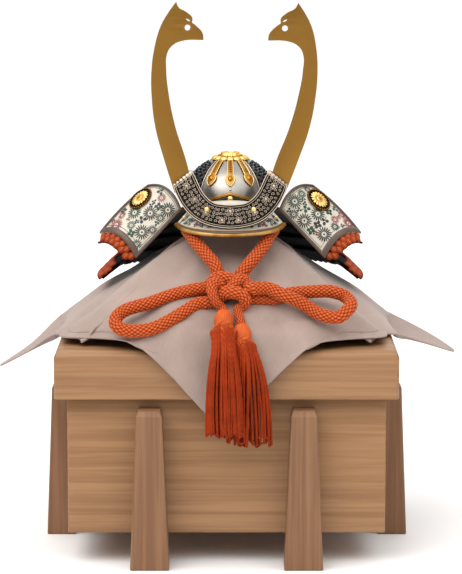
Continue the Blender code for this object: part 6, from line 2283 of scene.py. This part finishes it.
@dataclass
class Studio:
    """Pale floor, soft lights and a camera that sees the helmet as the photograph does.

    Args:
        place: Where the camera stands.
        tilt: Its turn about X in degrees; 90 looks level.
        lens: Its focal length in millimetres on a 36 mm sensor.
        floor_reach: Half the floor's width.
        aim: What every light looks at.
        seen: The world's strength for the camera.
        mirrored: Its strength in mirror images.
        ambient: Its strength as light.
        sky_strength: The wide sun's strength, and sky_angle its size in degrees.
    """

    place: Triple = (0.0036, -2.12, 0.55)
    tilt: float = 81.0
    lens: float = 156.8
    floor_reach: float = 16.0
    aim: Triple = (0.0, 0.0, 0.24)
    seen: float = 1.0
    mirrored: float = 0.54
    ambient: float = 0.34
    sky_strength: float = 2.5
    sky_angle: float = 100.0

    def camera(self) -> None:
        """Set the camera."""
        data = bpy.data.cameras.new("photo_camera")
        data.lens = self.lens
        data.sensor_width = 36.0
        data.clip_start, data.clip_end = 0.05, 20.0
        camera = bpy.data.objects.new("photo_camera", data)
        camera.location = self.place
        camera.rotation_euler = (math.radians(self.tilt), 0.0, 0.0)
        bpy.context.scene.collection.objects.link(camera)
        bpy.context.scene.camera = camera

    def floor(self) -> None:
        """One flat sheet that reaches past the camera's view."""
        x = np.linspace(-self.floor_reach, self.floor_reach, 9)
        points = np.stack([*np.meshgrid(x, x, indexing="xy"), np.zeros((9, 9))], axis=2)
        surface = grid(points)
        mesh = bpy.data.meshes.new("studio_floor")
        mesh.from_pydata(surface.verts.tolist(), [], surface.faces[0].tolist())
        base = Base("pale_floor", Specular_IOR_Level=0.1)
        patch = base.nodes.noise(base.place, 1.4, 3.0)
        share = base.nodes.span(patch, 0.3, 0.7)
        colour = base.nodes.mix(share, (0.94, 0.937, 0.93), (0.955, 0.952, 0.947))
        mesh.materials.append(base.finish(colour, base.nodes.span(patch, 0.3, 0.7, 0.75, 0.85)))
        floor = bpy.data.objects.new("studio_floor", mesh)
        bpy.context.scene.collection.objects.link(floor)

    def light(self, name: str, place: Triple, size: Pair, watts: float, colour: Triple) -> None:
        """A soft rectangular light that looks at the helmet and isn't seen itself."""
        data = bpy.data.lights.new(name, "AREA")
        data.shape = "RECTANGLE"
        data.size, data.size_y = size
        data.energy = watts
        data.color = colour
        lamp = bpy.data.objects.new(name, data)
        lamp.visible_camera = False
        lamp.location = place
        lamp.rotation_euler = (Vector(self.aim) - Vector(place)).to_track_quat("-Z", "Y").to_euler()
        bpy.context.scene.collection.objects.link(lamp)

    def build(self) -> None:
        """Set floor, lights, world and camera."""
        self.floor()
        self.camera()
        self.light("key_light", (-1.1, -1.2, 2.2), (2.2, 1.8), 32.0, (1.0, 0.98, 0.95))
        self.light("fill_light", (1.5, -1.2, 1.5), (1.8, 1.8), 10.0, (1.0, 0.99, 0.98))
        self.light("back_light", (0.3, 1.9, 1.2), (2.2, 1.4), 9.0, (1.0, 1.0, 1.0))
        sky = bpy.data.lights.new("sky_light", "SUN")
        sky.energy, sky.angle = self.sky_strength, math.radians(self.sky_angle)
        lamp = bpy.data.objects.new("sky_light", sky)
        lamp.rotation_euler = (math.radians(12), math.radians(-6), 0.0)
        bpy.context.scene.collection.objects.link(lamp)
        world = bpy.data.worlds.new("studio_world")
        world.use_nodes = True
        nodes = Nodes(world.node_tree)
        background = world.node_tree.nodes["Background"]
        background.inputs["Color"].default_value = (1.0, 1.0, 1.0, 1.0)
        seen = nodes.add("ShaderNodeLightPath", out="Is Camera Ray")
        mirrored = nodes.add("ShaderNodeLightPath", out="Is Glossy Ray")
        lit = nodes.maths("MULTIPLY_ADD", mirrored, self.mirrored - self.ambient, self.ambient)
        strength = nodes.maths("MULTIPLY_ADD", seen, self.seen - self.ambient, lit)
        nodes.feed(background.inputs["Strength"], strength)
        bpy.context.scene.world = world
        bpy.context.scene.view_settings.view_transform = "Standard"


def main() -> None:
    """Load the frame and build every sub-assembly in order."""
    logging.basicConfig(level=logging.INFO, format="%(message)s", stream=sys.stdout)
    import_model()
    Chest().build()
    Post().build()
    DrapedCloth().build()
    tassels = Tassel("tassel_front", FRONT_TASSEL, 3).build()
    tassels += Tassel("tassel_side", SIDE_TASSEL, 8, threads=48).build()
    Cord().build(tassels)
    Bowl().build()
    Visor().build()
    HornMount().build()
    Horns().build()
    NeckGuard().build()
    Wing("left", -1.0, (0.33, 0.22), 11).build()
    Wing("right", 1.0, (0.35, 0.28), 24).build()
    Studio().build()


if __name__ == "__main__":
    main()
